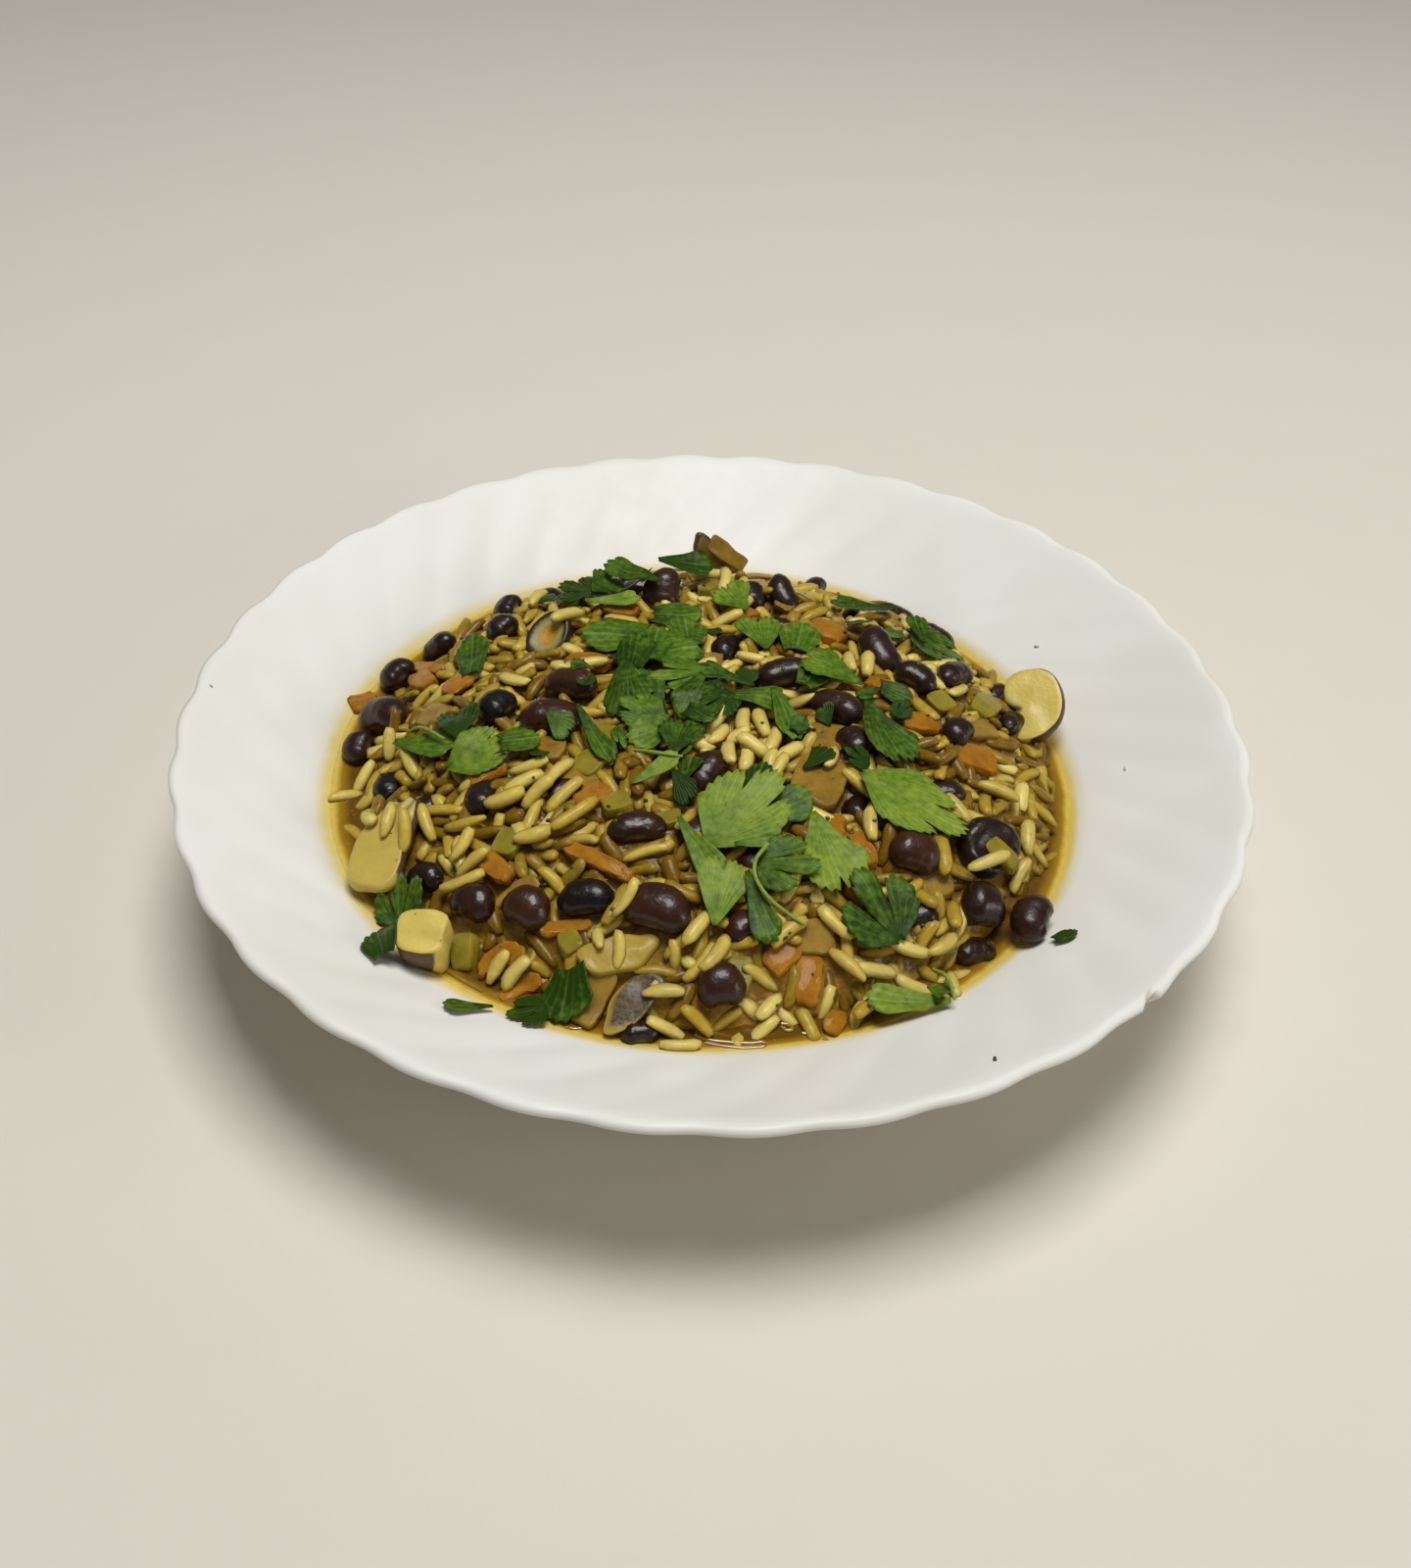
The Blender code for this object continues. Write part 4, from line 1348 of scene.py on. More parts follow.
class MEAL_OT_rice(bpy.types.Operator):
    """Shape the core of the heap and pile the grains of rice on it"""

    bl_idname = "meal.rice"
    bl_label = "Rice"

    def execute(self, context):
        settings = context.scene.meal_rice
        heap = Heap(ground(), settings)
        heap.fill()
        heap.strew()
        heap.float_in_broth()
        sauce = sauce_heights(ground())
        self.core(sauce)
        self.pile(heap, settings, sauce)
        return {"FINISHED"}

    def core(self, sauce):
        """The core under the grains, a solid whose top is the thick sauce that joins them."""
        line = [(share * HEAP_RADIUS, 25 * MM) for share in np.linspace(0.0, 1.0, 92)]
        under = [(70 * MM, 16 * MM), (62 * MM, 8 * MM), (40 * MM, 5 * MM), (0.0, 5 * MM)]
        core = spun("rice_core", line + under, 400)
        points = points_of(core)
        x, y = points[:, 0].copy(), points[:, 1].copy()
        upper = points[:, 2] > 20 * MM
        swell = outline(np.arctan2(y, x))
        x, y = x * swell, y * swell
        edge = upper_side(np.hypot(x, y)) + 0.3 * MM
        top = ground().sample(sauce, x, y)
        places = [Vector((px, py, 0.0)) / (1.9 * MM) for px, py in zip(x, y)]
        lumps = np.array([noise.fractal(place, 0.8, 2.0, 3) for place in places])
        share = np.clip(np.hypot(points[:, 0], points[:, 1]) / HEAP_RADIUS, 0.0, 1.0)
        top = top + 0.22 * MM * lumps * (1 - share**6)
        height = np.where(upper, np.maximum(top, edge), np.maximum(points[:, 2], edge))
        set_points(core, np.column_stack((x, y, height)))
        # The wetness mark also sets the sauce's painted shade, which is darker where the mark is
        # low.
        mark_points(core, "wet", wetness(x, y))
        dress(core, sauce_finish(), ["rice_heap"])

    def pile(self, heap, settings, sauce):
        builds = (
            (1.16, 0.90), (1.24, 1.0), (1.12, 0.80), (1.20, 0.94), (1.28, 0.86), (1.14, 1.0),
            (1.22, 0.76),
        )
        shapes = [model_grain(blunt, taper, seed) for seed, (blunt, taper) in enumerate(builds)]
        laid, loose = [], []
        for i, (at, turn, half, paleness) in enumerate(heap.seen(sauce)):
            pattern, triangles = shapes[i % len(shapes)]
            bend = 0.16 * math.sin(i * 1.7)
            body = pattern * half
            body[:, 1] += bend * half[0] * (0.4 - pattern[:, 0] ** 2)
            points = body @ turn.T + at
            points[:, 2] -= max(0.0, points[:, 2].max() - TOP + 0.1 * MM)
            surface = ground().sample(sauce, points[:, 0], points[:, 1])
            soak = np.clip(1.0 - (points[:, 2] - surface) / (1.3 * MM), 0.0, 1.0)
            soak = np.maximum(soak**1.5, 0.35 * wetness(points[:, 0], points[:, 1]))
            lies_loose = paleness >= Heap.LOOSE
            marks = {"paleness": paleness - Heap.LOOSE * lies_loose, "soak": soak}
            (loose if lies_loose else laid).append((points, triangles, marks))
        finish = grain_finish(settings)
        new_piece("rice_grains", *join_copies(laid), finish, "rice")
        new_piece("rice_grains_loose", *join_copies(loose), finish, "rice")


# ---------------------------------------------------------------- the mushrooms


def model_slice(shape, thickness_steps=3, rings=6, count=56):
    """A flat slice, from -1 to 1 each way, with rounded edges. The shape gives its outline's
    reach in each direction. Its top faces +Z."""
    deselect()
    bpy.ops.mesh.primitive_cylinder_add(vertices=count, radius=1.0, depth=2.0, end_fill_type="NGON")
    piece = bpy.context.object
    into_edit(piece, "FACE")
    for side in (1, -1):
        bpy.ops.mesh.select_all(action="DESELECT")
        body = bmesh.from_edit_mesh(piece.data)
        for face in body.faces:
            if face.normal.z * side > 0.9:
                face.select_set(True)
        bmesh.update_edit_mesh(piece.data)
        bpy.ops.mesh.inset(thickness=0.05)
        bpy.ops.transform.translate(value=(0, 0, 0.12 * side))
        for _ in range(rings):
            bpy.ops.mesh.inset(thickness=0.9 / (rings + 1))
        bpy.ops.mesh.poke()
    bpy.ops.mesh.select_all(action="DESELECT")
    body = bmesh.from_edit_mesh(piece.data)
    for edge in body.edges:
        if abs(edge.verts[0].co.z - edge.verts[1].co.z) > 1.0:
            edge.select_set(True)
    bmesh.update_edit_mesh(piece.data)
    bpy.ops.mesh.subdivide(number_cuts=thickness_steps)
    out_of_edit()
    points, triangles = pattern_of(piece)
    side, around = polar(points)
    reach = np.array([shape(angle) for angle in around])
    belly = 1.0 + 0.04 * (1 - np.clip(np.abs(points[:, 2]), 0, 1) ** 2)
    points[:, :2] *= (reach * belly)[:, None]
    return points, triangles, side


def swell(angle, heading, width):
    """A soft swelling of the outline in a heading, both in radians."""
    return math.exp(-(((angle - heading + math.pi) % (2 * math.pi) - math.pi) / width) ** 2)


def cap_outline(angle):
    """Half a cap: rounded at the back, notched where the gills meet the stem."""
    return (
        0.95
        - 0.36 * swell(angle, -1.25, 0.30)
        + 0.14 * swell(angle, -2.3, 0.5)
        + 0.10 * swell(angle, -0.45, 0.35)
    )


def long_outline(angle):
    boxy = (abs(math.cos(angle)) ** 3.4 + abs(math.sin(angle)) ** 3.4) ** (-1 / 3.4)
    return 0.97 * boxy + 0.03 * math.sin(3 * angle) - 0.04 * swell(angle, 1.4, 0.4)


def chunk_outline(angle):
    return 1.0 + 0.10 * math.cos(4 * (angle - 0.785) + math.pi) * -1.0 + 0.04 * math.sin(3 * angle)


def torn_outline(angle):
    return 0.96 + 0.035 * math.sin(5 * angle + 1) + 0.05 * math.sin(3 * angle)


def oval_outline(angle):
    return 1.0 + 0.03 * math.cos(3 * angle)


def mushroom_finish(settings):
    made = Finish(
        "mushroom", 0.38, IOR=1.4, Specular_IOR_Level=0.4, Coat_Weight=0.1, Coat_Roughness=0.15,
        Subsurface_Weight=0.1, Subsurface_Scale=0.0015,
    )
    cloud = made.patches(0.3, 0.75, 0.006, 4.0, 0.6)
    soaked = made.plus(made.mark("soak"), made.times(cloud, 0.35))
    flesh = made.mix(
        made.ramp(soaked, (0.0, 0.0), (1.0, 1.0)), settings.flesh, settings.flesh_soaked
    )
    dots = made.ramp(made.cells(0.0042), (0.05, 1.0), (0.075, 0.0))
    flesh = made.mix(made.times(dots, 0.6), flesh, tint(96, 74, 30))
    skin = made.mix(cloud, settings.skin, tint(104, 78, 50))
    rind = made.ramp(
        made.plus(made.mark("rind"), made.uneven(0.25, 0.0012, 3.0)), (0.42, 0.0), (0.6, 1.0)
    )
    body = made.mix(rind, flesh, skin)
    stripes = made.noise(0.0011, 4.0, 0.7, (0.5, 1.2, 1.2))
    gill = made.ramp(stripes, (0.36, tint(44, 34, 16)), (0.66, settings.gills))
    made.paint(made.mix(made.mark("gill"), body, gill))
    made.gloss(made.ramp(made.noise(0.003, 3.0), (0.3, 0.25), (0.7, 0.45)))
    made.bump(
        made.plus(made.noise(0.0009, 4.0), made.times(made.mark("gill"), stripes)), 0.0002, 0.6
    )
    return made.material


class MEAL_OT_mushrooms(bpy.types.Operator):
    """Cut the mushroom slices, with their skin and gills, and the halved bean"""

    bl_idname = "meal.mushrooms"
    bl_label = "Mushrooms"

    def execute(self, context):
        settings = context.scene.meal_mushrooms
        finish = mushroom_finish(settings)
        # each: its outline, the direction its skin faces, whether it has skin, how soaked it is,
        # how much of it is gills, and how rough it is in millimetres
        slices = {
            "mushroom_right": (cap_outline, -0.15, True, 0.12, 0.0, 0.45),
            "mushroom_left": (long_outline, 0.35, True, 0.45, 0.0, 0.45),
            "mushroom_chunk": (chunk_outline, math.radians(200), True, 0.10, 0.0, 0.9),
            "mushroom_slab": (torn_outline, math.radians(80), False, 1.25, 0.0, 0.9),
            "mushroom_gills": (torn_outline, 0.0, True, 0.8, 1.0, 0.45),
        }
        for seed, (name, row) in enumerate(slices.items()):
            shape, heading, skinned, soak, gill, roughness = row
            pattern, triangles, side = model_slice(shape)
            pattern[:, :2] *= np.where(pattern[:, 2] < -0.3, 0.86, 1.0)[:, None]
            points = fit(pattern, seat_of(name))
            around = polar(points - points.mean(0))[1]
            rim = np.clip((side - 0.93) / 0.07, 0.0, 1.0)
            facing = np.clip(np.cos(around - heading) * 2.2 + 0.6, 0.0, 1.0)
            inner = np.clip((1.0 - side) * 5 + 0.5 + 0.9 * np.cos(around - 0.6), 0, 1)
            marks = {"rind": rim * facing * skinned, "soak": soak, "gill": gill * inner}
            if name == "mushroom_right":
                marks["gill"] = self.notch_gills(pattern, side)
            points = rough(points, 5 * MM, roughness * MM, seed + 5)
            if name == "mushroom_chunk":
                points[:, 2] -= 1.4 * MM * (1 - pattern[:, 2])
            if name == "mushroom_gills":
                points = points.mean(0) + (points - points.mean(0)) * (1.15, 1.45, 1.0)
            if name == "mushroom_left":
                points, marks["gill"] = self.narrowed(points, pattern)
            points = self.keep_off_glass(points, pattern)
            new_piece(name + "_slice", points, triangles, marks, finish, "mushroom", [name])
        self.standing_slice(finish)
        self.half_bean()
        return {"FINISHED"}

    def standing_slice(self, finish):
        """The dark slice that stands out at the back of the heap."""
        pattern, triangles, side = model_slice(torn_outline)
        bent = pattern * (7.2 * MM, 3.5 * MM, 0.9 * MM)
        bent[:, 1] += 0.9 * MM * pattern[:, 0] ** 2
        bent = rough(bent, 4 * MM, 0.5 * MM, 31)
        turn = turned_by(0.0, math.radians(-42), math.radians(58))
        points = bent @ turn.T + np.array((-0.8, 70.5, 30.4)) * MM
        rind = np.clip((side - 0.8) / 0.15, 0.0, 1.0) * (pattern[:, 0] < 0.2)
        new_piece(
            "mushroom_back_slice", points, triangles, {"rind": rind, "soak": 1.5, "gill": 0.55},
            finish, "mushroom",
        )

    def narrowed(self, points, pattern):
        """The stem slice on the left, narrower and folded at its upper end."""
        middle = points.mean(0)
        along, across = np.array((0.50, 0.866)), np.array((0.866, -0.50))
        far = (points[:, :2] - middle[:2]) @ along / (10 * MM)
        wide = (points[:, :2] - middle[:2]) @ across
        points = points.copy()
        points[:, :2] -= np.outer(wide * np.clip(0.26 * far, -0.1, 0.34), across)
        folds = np.clip(far * 2.4 - 0.7, 0.0, 1.0) * (pattern[:, 2] > 0)
        points[:, 2] += 0.45 * MM * folds * np.sin(wide / (0.55 * MM))
        return points, 0.55 * folds * (0.5 - 0.5 * np.sin(wide / (0.55 * MM)))

    def keep_off_glass(self, points, pattern):
        radius = np.hypot(points[:, 0], points[:, 1])
        floor = upper_side(radius) + (0.9 + 0.6 * pattern[:, 2]) * MM
        points[:, 2] = np.maximum(points[:, 2], floor)
        return points

    def notch_gills(self, pattern, side):
        """Where the gills show round the notch of the cap."""
        notch = np.array([swell(angle, -1.25, 0.38) for angle in polar(pattern)[1]])
        return notch * np.clip((side - 0.5) * 3.5, 0.0, 1.0)

    def half_bean(self):
        """A bean cut in half: a dark rim round its pale inside."""
        pattern, triangles, side = model_slice(oval_outline)
        hollow = np.clip(1.0 - side / 0.85, 0.0, 1.0)
        pattern[:, 2] -= np.where(pattern[:, 2] > 0.5, 0.35 * hollow**0.7, 0.0)
        points = fit(pattern, seat_of("bean_half"))
        made = Finish(
            "cut_bean", 0.35, IOR=1.4, Specular_IOR_Level=0.35, Coat_Weight=0.1, Coat_Roughness=0.1
        )
        rings = made.plus(made.mark("ring"), made.uneven(0.22, 0.002, 4.0))
        made.paint(
            made.ramp(
                rings, (0.20, tint(190, 142, 42)), (0.42, tint(170, 130, 48)),
                (0.52, tint(158, 150, 92)), (0.70, tint(138, 126, 74)), (0.82, tint(52, 38, 24)),
            )
        )
        made.bump(made.noise(0.0009, 4.0), 0.0002, 0.5)
        ring = np.where(pattern[:, 2] > 0.2, side, 1.0)
        new_piece(
            "bean_half_cut", points, triangles, {"ring": ring}, made.material, "bean", ["bean_half"]
        )


# ---------------------------------------------------------------- carrot, celery and onion

# Shreds and bits that the frame leaves out: x, y in millimetres, yaw in degrees, length, width
# and thickness in millimetres, bend, and how far the bit stands out of the heap as a share.
CARROT_BITS = (
    (-39, -63, 10, 9, 4.4, 1.8, 0.8, 0.9),
    (-35, -68, 20, 8, 3, 1.6, 0.7, 0.5),
    (29, -49, 60, 6.4, 4.6, 2.6, 0.2, 0.8),
    (-24, -29, 40, 7.6, 5.6, 2.2, 0.2, 0.5),
    (-46, -21, 25, 8, 4.4, 2, 0.3, 0.7),
    (-68, 28, -40, 12, 3.8, 2, 0.4, 0.9),
    (-80, 18, 30, 6.6, 5.6, 3.2, 0, 0.9),
    (-22, 38, -15, 8.4, 4.4, 2.6, 0.2, 0.8),
    (18, 30, 20, 8, 6, 2.4, 0.2, 0.7),
    (35, 34, -10, 6, 5, 2.2, 0.2, 0.6),
    (19, -67, 80, 9, 5, 1.8, 0.3, 0.4),
    (14, -64, 40, 7, 5, 2, 0.2, 0.4),
    (-28, 17, -10, 11, 5.6, 2, 0.2, 0.7),
    (-37, -1, 15, 9, 3.6, 2, 0.2, 0.7),
    (-57, 12, 50, 6.6, 5.2, 2, 0.2, 0.8),
    (25, -36, 80, 7, 3.2, 1.8, 0.2, 0.6),
    (-27, -59, 3, 10, 2.4, 1.6, 0.1, 0.7),
    (24, -74, 70, 5.4, 3.6, 1.8, 0.1, 0.4),
    (45, 0, 10, 8.6, 5.4, 2.2, 0.2, 0.5),
    (56, -8, 0, 9.4, 6, 2.4, 0.2, 0.4),
    (-12, 14, 40, 6, 3, 1.8, 0.2, 0.6),
    (7, 38, 30, 7, 4, 2, 0.2, 0.6),
    (44, -30, 60, 6, 3, 1.6, 0.2, 0.4),
    (-64, 24, 120, 5, 2.4, 1.4, 0.2, 0.8),
)
CELERY_BITS = (
    (-40, -40, 70, 6.4, 5.6, 2.4, 0, 0.8),
    (58.5, -36, -30, 6.6, 4.6, 2.4, 0, 2.8),
    (2, 52, 75, 9.4, 3.4, 2, 0.2, 1),
    (-35, 46, 20, 5.6, 4.4, 2.4, 0, 0.9),
    (-19, -31, 20, 6, 6, 2.4, 0, 0.6),
    (42, -20, 30, 5.4, 3.2, 2, 0, 0.8),
    (-23, -12, 80, 7.6, 6.4, 2.6, 0.1, 0.8),
    (50, 8, 40, 6, 5.6, 2.6, 0, 0.8),
    (-26, -62, 120, 5, 4.2, 2.2, 0, 0.7),
    (-9, -36, 10, 6.6, 4.4, 2.2, 0, 0.6),
    (6, -68, 80, 6.4, 5, 2.2, 0, 0.5),
    (33, -66, 30, 6, 5, 2.2, 0, 0.5),
)
ONION_BITS = (
    (24, -9, 80, 9, 8, 1.4, 0.3, 0.9),
    (11, 68, 10, 8, 4, 4, 0.5, 0.7),
    (-61, 2, 60, 8, 6.4, 1.6, 0.3, 0.8),
    (14, 62, 20, 8, 4.4, 1.6, 0.3, 0.8),
    (30, 62, 0, 9, 4, 1.4, 0.3, 0.8),
    (-20, 20, 30, 8, 6, 1.6, 0.3, 0.6),
    (58, 2, 20, 8, 6, 1.6, 0.3, 0.5),
    (-36, -51, 40, 6.6, 4, 1.4, 0.3, 0.6),
    (20, -60, 10, 8, 6, 1.6, 0.3, 0.5),
    (44, -44, 20, 8, 6.4, 1.6, 0.2, 0.3),
    (-14, 4, 60, 7.6, 5.4, 1.6, 0.3, 0.4),
    (-2, 18, 0, 7.6, 5.4, 1.6, 0.3, 0.4),
    (17, 46, 60, 7, 5, 1.6, 0.3, 0.7),
    (-27, -24, -30, 9, 5, 1.4, 0.4, 0.8),
    (-21, -72, 60, 10, 6, 2, 0.3, 1),
)


def model_cut(cuts, corners):
    """A cut bit, from -1 to 1 each way: a cube with its corners worn off."""
    deselect()
    bpy.ops.mesh.primitive_cube_add(size=2.0)
    piece = bpy.context.object
    into_edit(piece)
    bpy.ops.mesh.select_all(action="SELECT")
    bpy.ops.mesh.bevel(offset=corners, segments=2, affect="EDGES")
    bpy.ops.mesh.select_all(action="SELECT")
    bpy.ops.mesh.subdivide(number_cuts=cuts)
    out_of_edit()
    apply_modifier(piece, "SMOOTH", factor=0.5, iterations=2)
    return pattern_of(piece)


def vegetable_finish(name, shades, fibre, roughness, depth):
    """Moist flesh in two shades, with fibres along X of the given spacing. The darker shade lies in
    patches, and towards the underside as painted shade.
    """
    made = Finish(
        name, roughness, IOR=1.38, Specular_IOR_Level=0.4, Coat_Weight=0.15, Coat_Roughness=0.08,
        Subsurface_Weight=0.15, Subsurface_Scale=0.0015,
    )
    cloud = made.patches(0.34, 0.70, 0.0032, 5.0, 0.62)
    # The depth mark runs from 0 on top to 1 on the underside, where the darker shade is painted
    # shade.
    share = made.plus(made.times(cloud, 0.8), made.times(made.mark("depth"), 0.5))
    flesh = made.mix(share, *shades)
    pale = made.patches(0.62, 0.74, 0.0008, 3.0)
    made.paint(made.mix(made.times(pale, 0.15), flesh, tint(214, 166, 66)))
    waves = (
        ("Vector", made.mark_vector("grain")), ("Scale", 1.0), ("Distortion", 2.0), ("Detail", 2.0)
    )
    bands = {"wave_type": "BANDS", "bands_direction": "Y"}
    threads = made.output("Fac", "ShaderNodeTexWave", *waves, **bands)
    glossiest = max(0.05, roughness - 0.1)
    made.gloss(made.ramp(made.noise(0.0015, 3.0), (0.3, glossiest), (0.75, roughness + 0.12)))
    made.bump(made.plus(made.times(threads, fibre), made.noise(0.0007, 4.0, 0.65)), depth, 0.7)
    return made.material


def laid_bits(bits, pattern, triangles, size, depth, seed):
    """Small bits laid on the heap, each bent over it and roughened."""
    copies = []
    for i, (x, y, yaw, long, wide, thick, bend, shown) in enumerate(bits):
        half = np.array((long, wide, thick)) * MM / 2
        body = pattern * half
        body[:, 1] += bend * half[0] * 0.5 * (0.4 - pattern[:, 0] ** 2)
        body[:, 1] *= 1.0 - 0.25 * np.abs(pattern[:, 0]) ** 3
        body = rough(body, size, depth, seed + i)
        turn = turned_by(math.radians(yaw), 0.12 * math.sin(i * 2.3), 0.15 * math.sin(i * 1.1))
        body = body @ turn.T
        at_x, at_y = body[:, 0] + x * MM, body[:, 1] + y * MM
        here = float(heap_height(x * MM, y * MM))
        drop = heap_height(at_x, at_y) - here
        floor = upper_side(np.hypot(at_x, at_y)) + 0.4 * MM
        level = body[:, 2] + here + 0.8 * drop + (0.78 * shown - 0.5) * thick * MM
        height = np.maximum(level, floor)
        points = np.column_stack((at_x, at_y, np.minimum(height, TOP - 0.2 * MM)))
        grain = np.column_stack((pattern[:, 0] * long, pattern[:, 1] * wide, pattern[:, 2] * thick))
        # depth is 0 on the top and 1 on the underside, where the darker shade is painted as shade
        copies.append((points, triangles, {"depth": 0.5 - 0.5 * pattern[:, 2]}, grain))
        ground().add_solid(points, triangles, 1.2 * MM)
    return copies


def mark_grain(obj, grain):
    """A direction along the fibres, for the bump that follows them."""
    attribute = obj.data.attributes.new("grain", "FLOAT_VECTOR", "POINT")
    attribute.data.foreach_set("vector", np.asarray(grain, np.float32).ravel())


# Each kind: the setting of its darker colour, how strong its fibres are, its roughness, the depth
# of its bumps in metres, the size and depth of its lumps in millimetres, and its bits.
VEGETABLES = (
    ("carrot", "carrot_dark", 0.9, 0.30, 0.00035, 1.5, 0.50, CARROT_BITS),
    ("celery", "celery_green", 0.5, 0.22, 0.00025, 2.6, 0.22, CELERY_BITS),
    ("onion", "onion_dark", 0.4, 0.20, 0.0002, 3.4, 0.35, ONION_BITS),
)


class MEAL_OT_vegetables(bpy.types.Operator):
    """Cut the carrot, celery and onion, large bits and small"""

    bl_idname = "meal.vegetables"
    bl_label = "Vegetables"

    def execute(self, context):
        settings = context.scene.meal_vegetables
        for seed, row in enumerate(VEGETABLES):
            kind, darker, fibre, roughness, bump, size, depth, bits = row
            shades = getattr(settings, kind), getattr(settings, darker)
            finish = vegetable_finish(kind, shades, fibre, roughness, bump)
            pattern, triangles = model_cut(2, 0.32 if kind == "carrot" else 0.24)
            for i, name in enumerate(sorted(n for n in TOPPINGS if n.startswith(kind + "_"))):
                body = pattern.copy()
                body[:, 1] *= 1.0 - 0.30 * np.abs(body[:, 0]) ** 3
                body[:, 2] -= 0.5 * body[:, 0] ** 2
                seat = seat_of(name)
                points = rough(fit(body, seat), size * MM, depth * MM, 20 * seed + i)
                extent = (seat[3] - seat[2]) / MM / 2
                # depth is 0 on the top and 1 on the underside, where the darker shade is painted as
                # shade
                piece = new_piece(
                    name + "_cut", points, triangles, {"depth": 0.5 - 0.5 * pattern[:, 2]}, finish,
                    kind, [name],
                )
                mark_grain(piece, pattern * extent * 2)
            copies = laid_bits(bits, pattern, triangles, size * MM, depth * MM, 40 + 30 * seed)
            if kind == "onion":
                strip = rough(pattern * (5.6 * MM, 2.1 * MM, 0.7 * MM), 3 * MM, 0.4 * MM, 77)
                turn = turned_by(0.0, math.radians(-38), math.radians(52))
                strip = strip @ turn.T + np.array((2.6, 69.0, 32.4)) * MM
                copies.append((strip, triangles, {"depth": 0.3}, pattern * 4.0))
            piece = new_piece(
                kind + "_bits", *join_copies([copy[:3] for copy in copies]), finish, kind
            )
            mark_grain(piece, np.concatenate([copy[3] for copy in copies]))
        return {"FINISHED"}


# ---------------------------------------------------------------- the coriander

# The cuts that a chopped leaf comes in: spread in degrees, where the cut starts as a share of the
# leaf's reach, how many lobes and how deep they are, how many teeth and how long they are.
LEAF_CUTS = {
    "fan": (128, 0.04, 3, 0.22, 20, 0.075),
    "kite": (76, 0.04, 2, 0.10, 10, 0.07),
    "lobed": (150, 0.06, 3, 0.50, 15, 0.09),
    "patch": (58, 0.42, 1, 0.0, 6, 0.05),
    "strip": (34, 0.12, 1, 0.0, 4, 0.06),
}

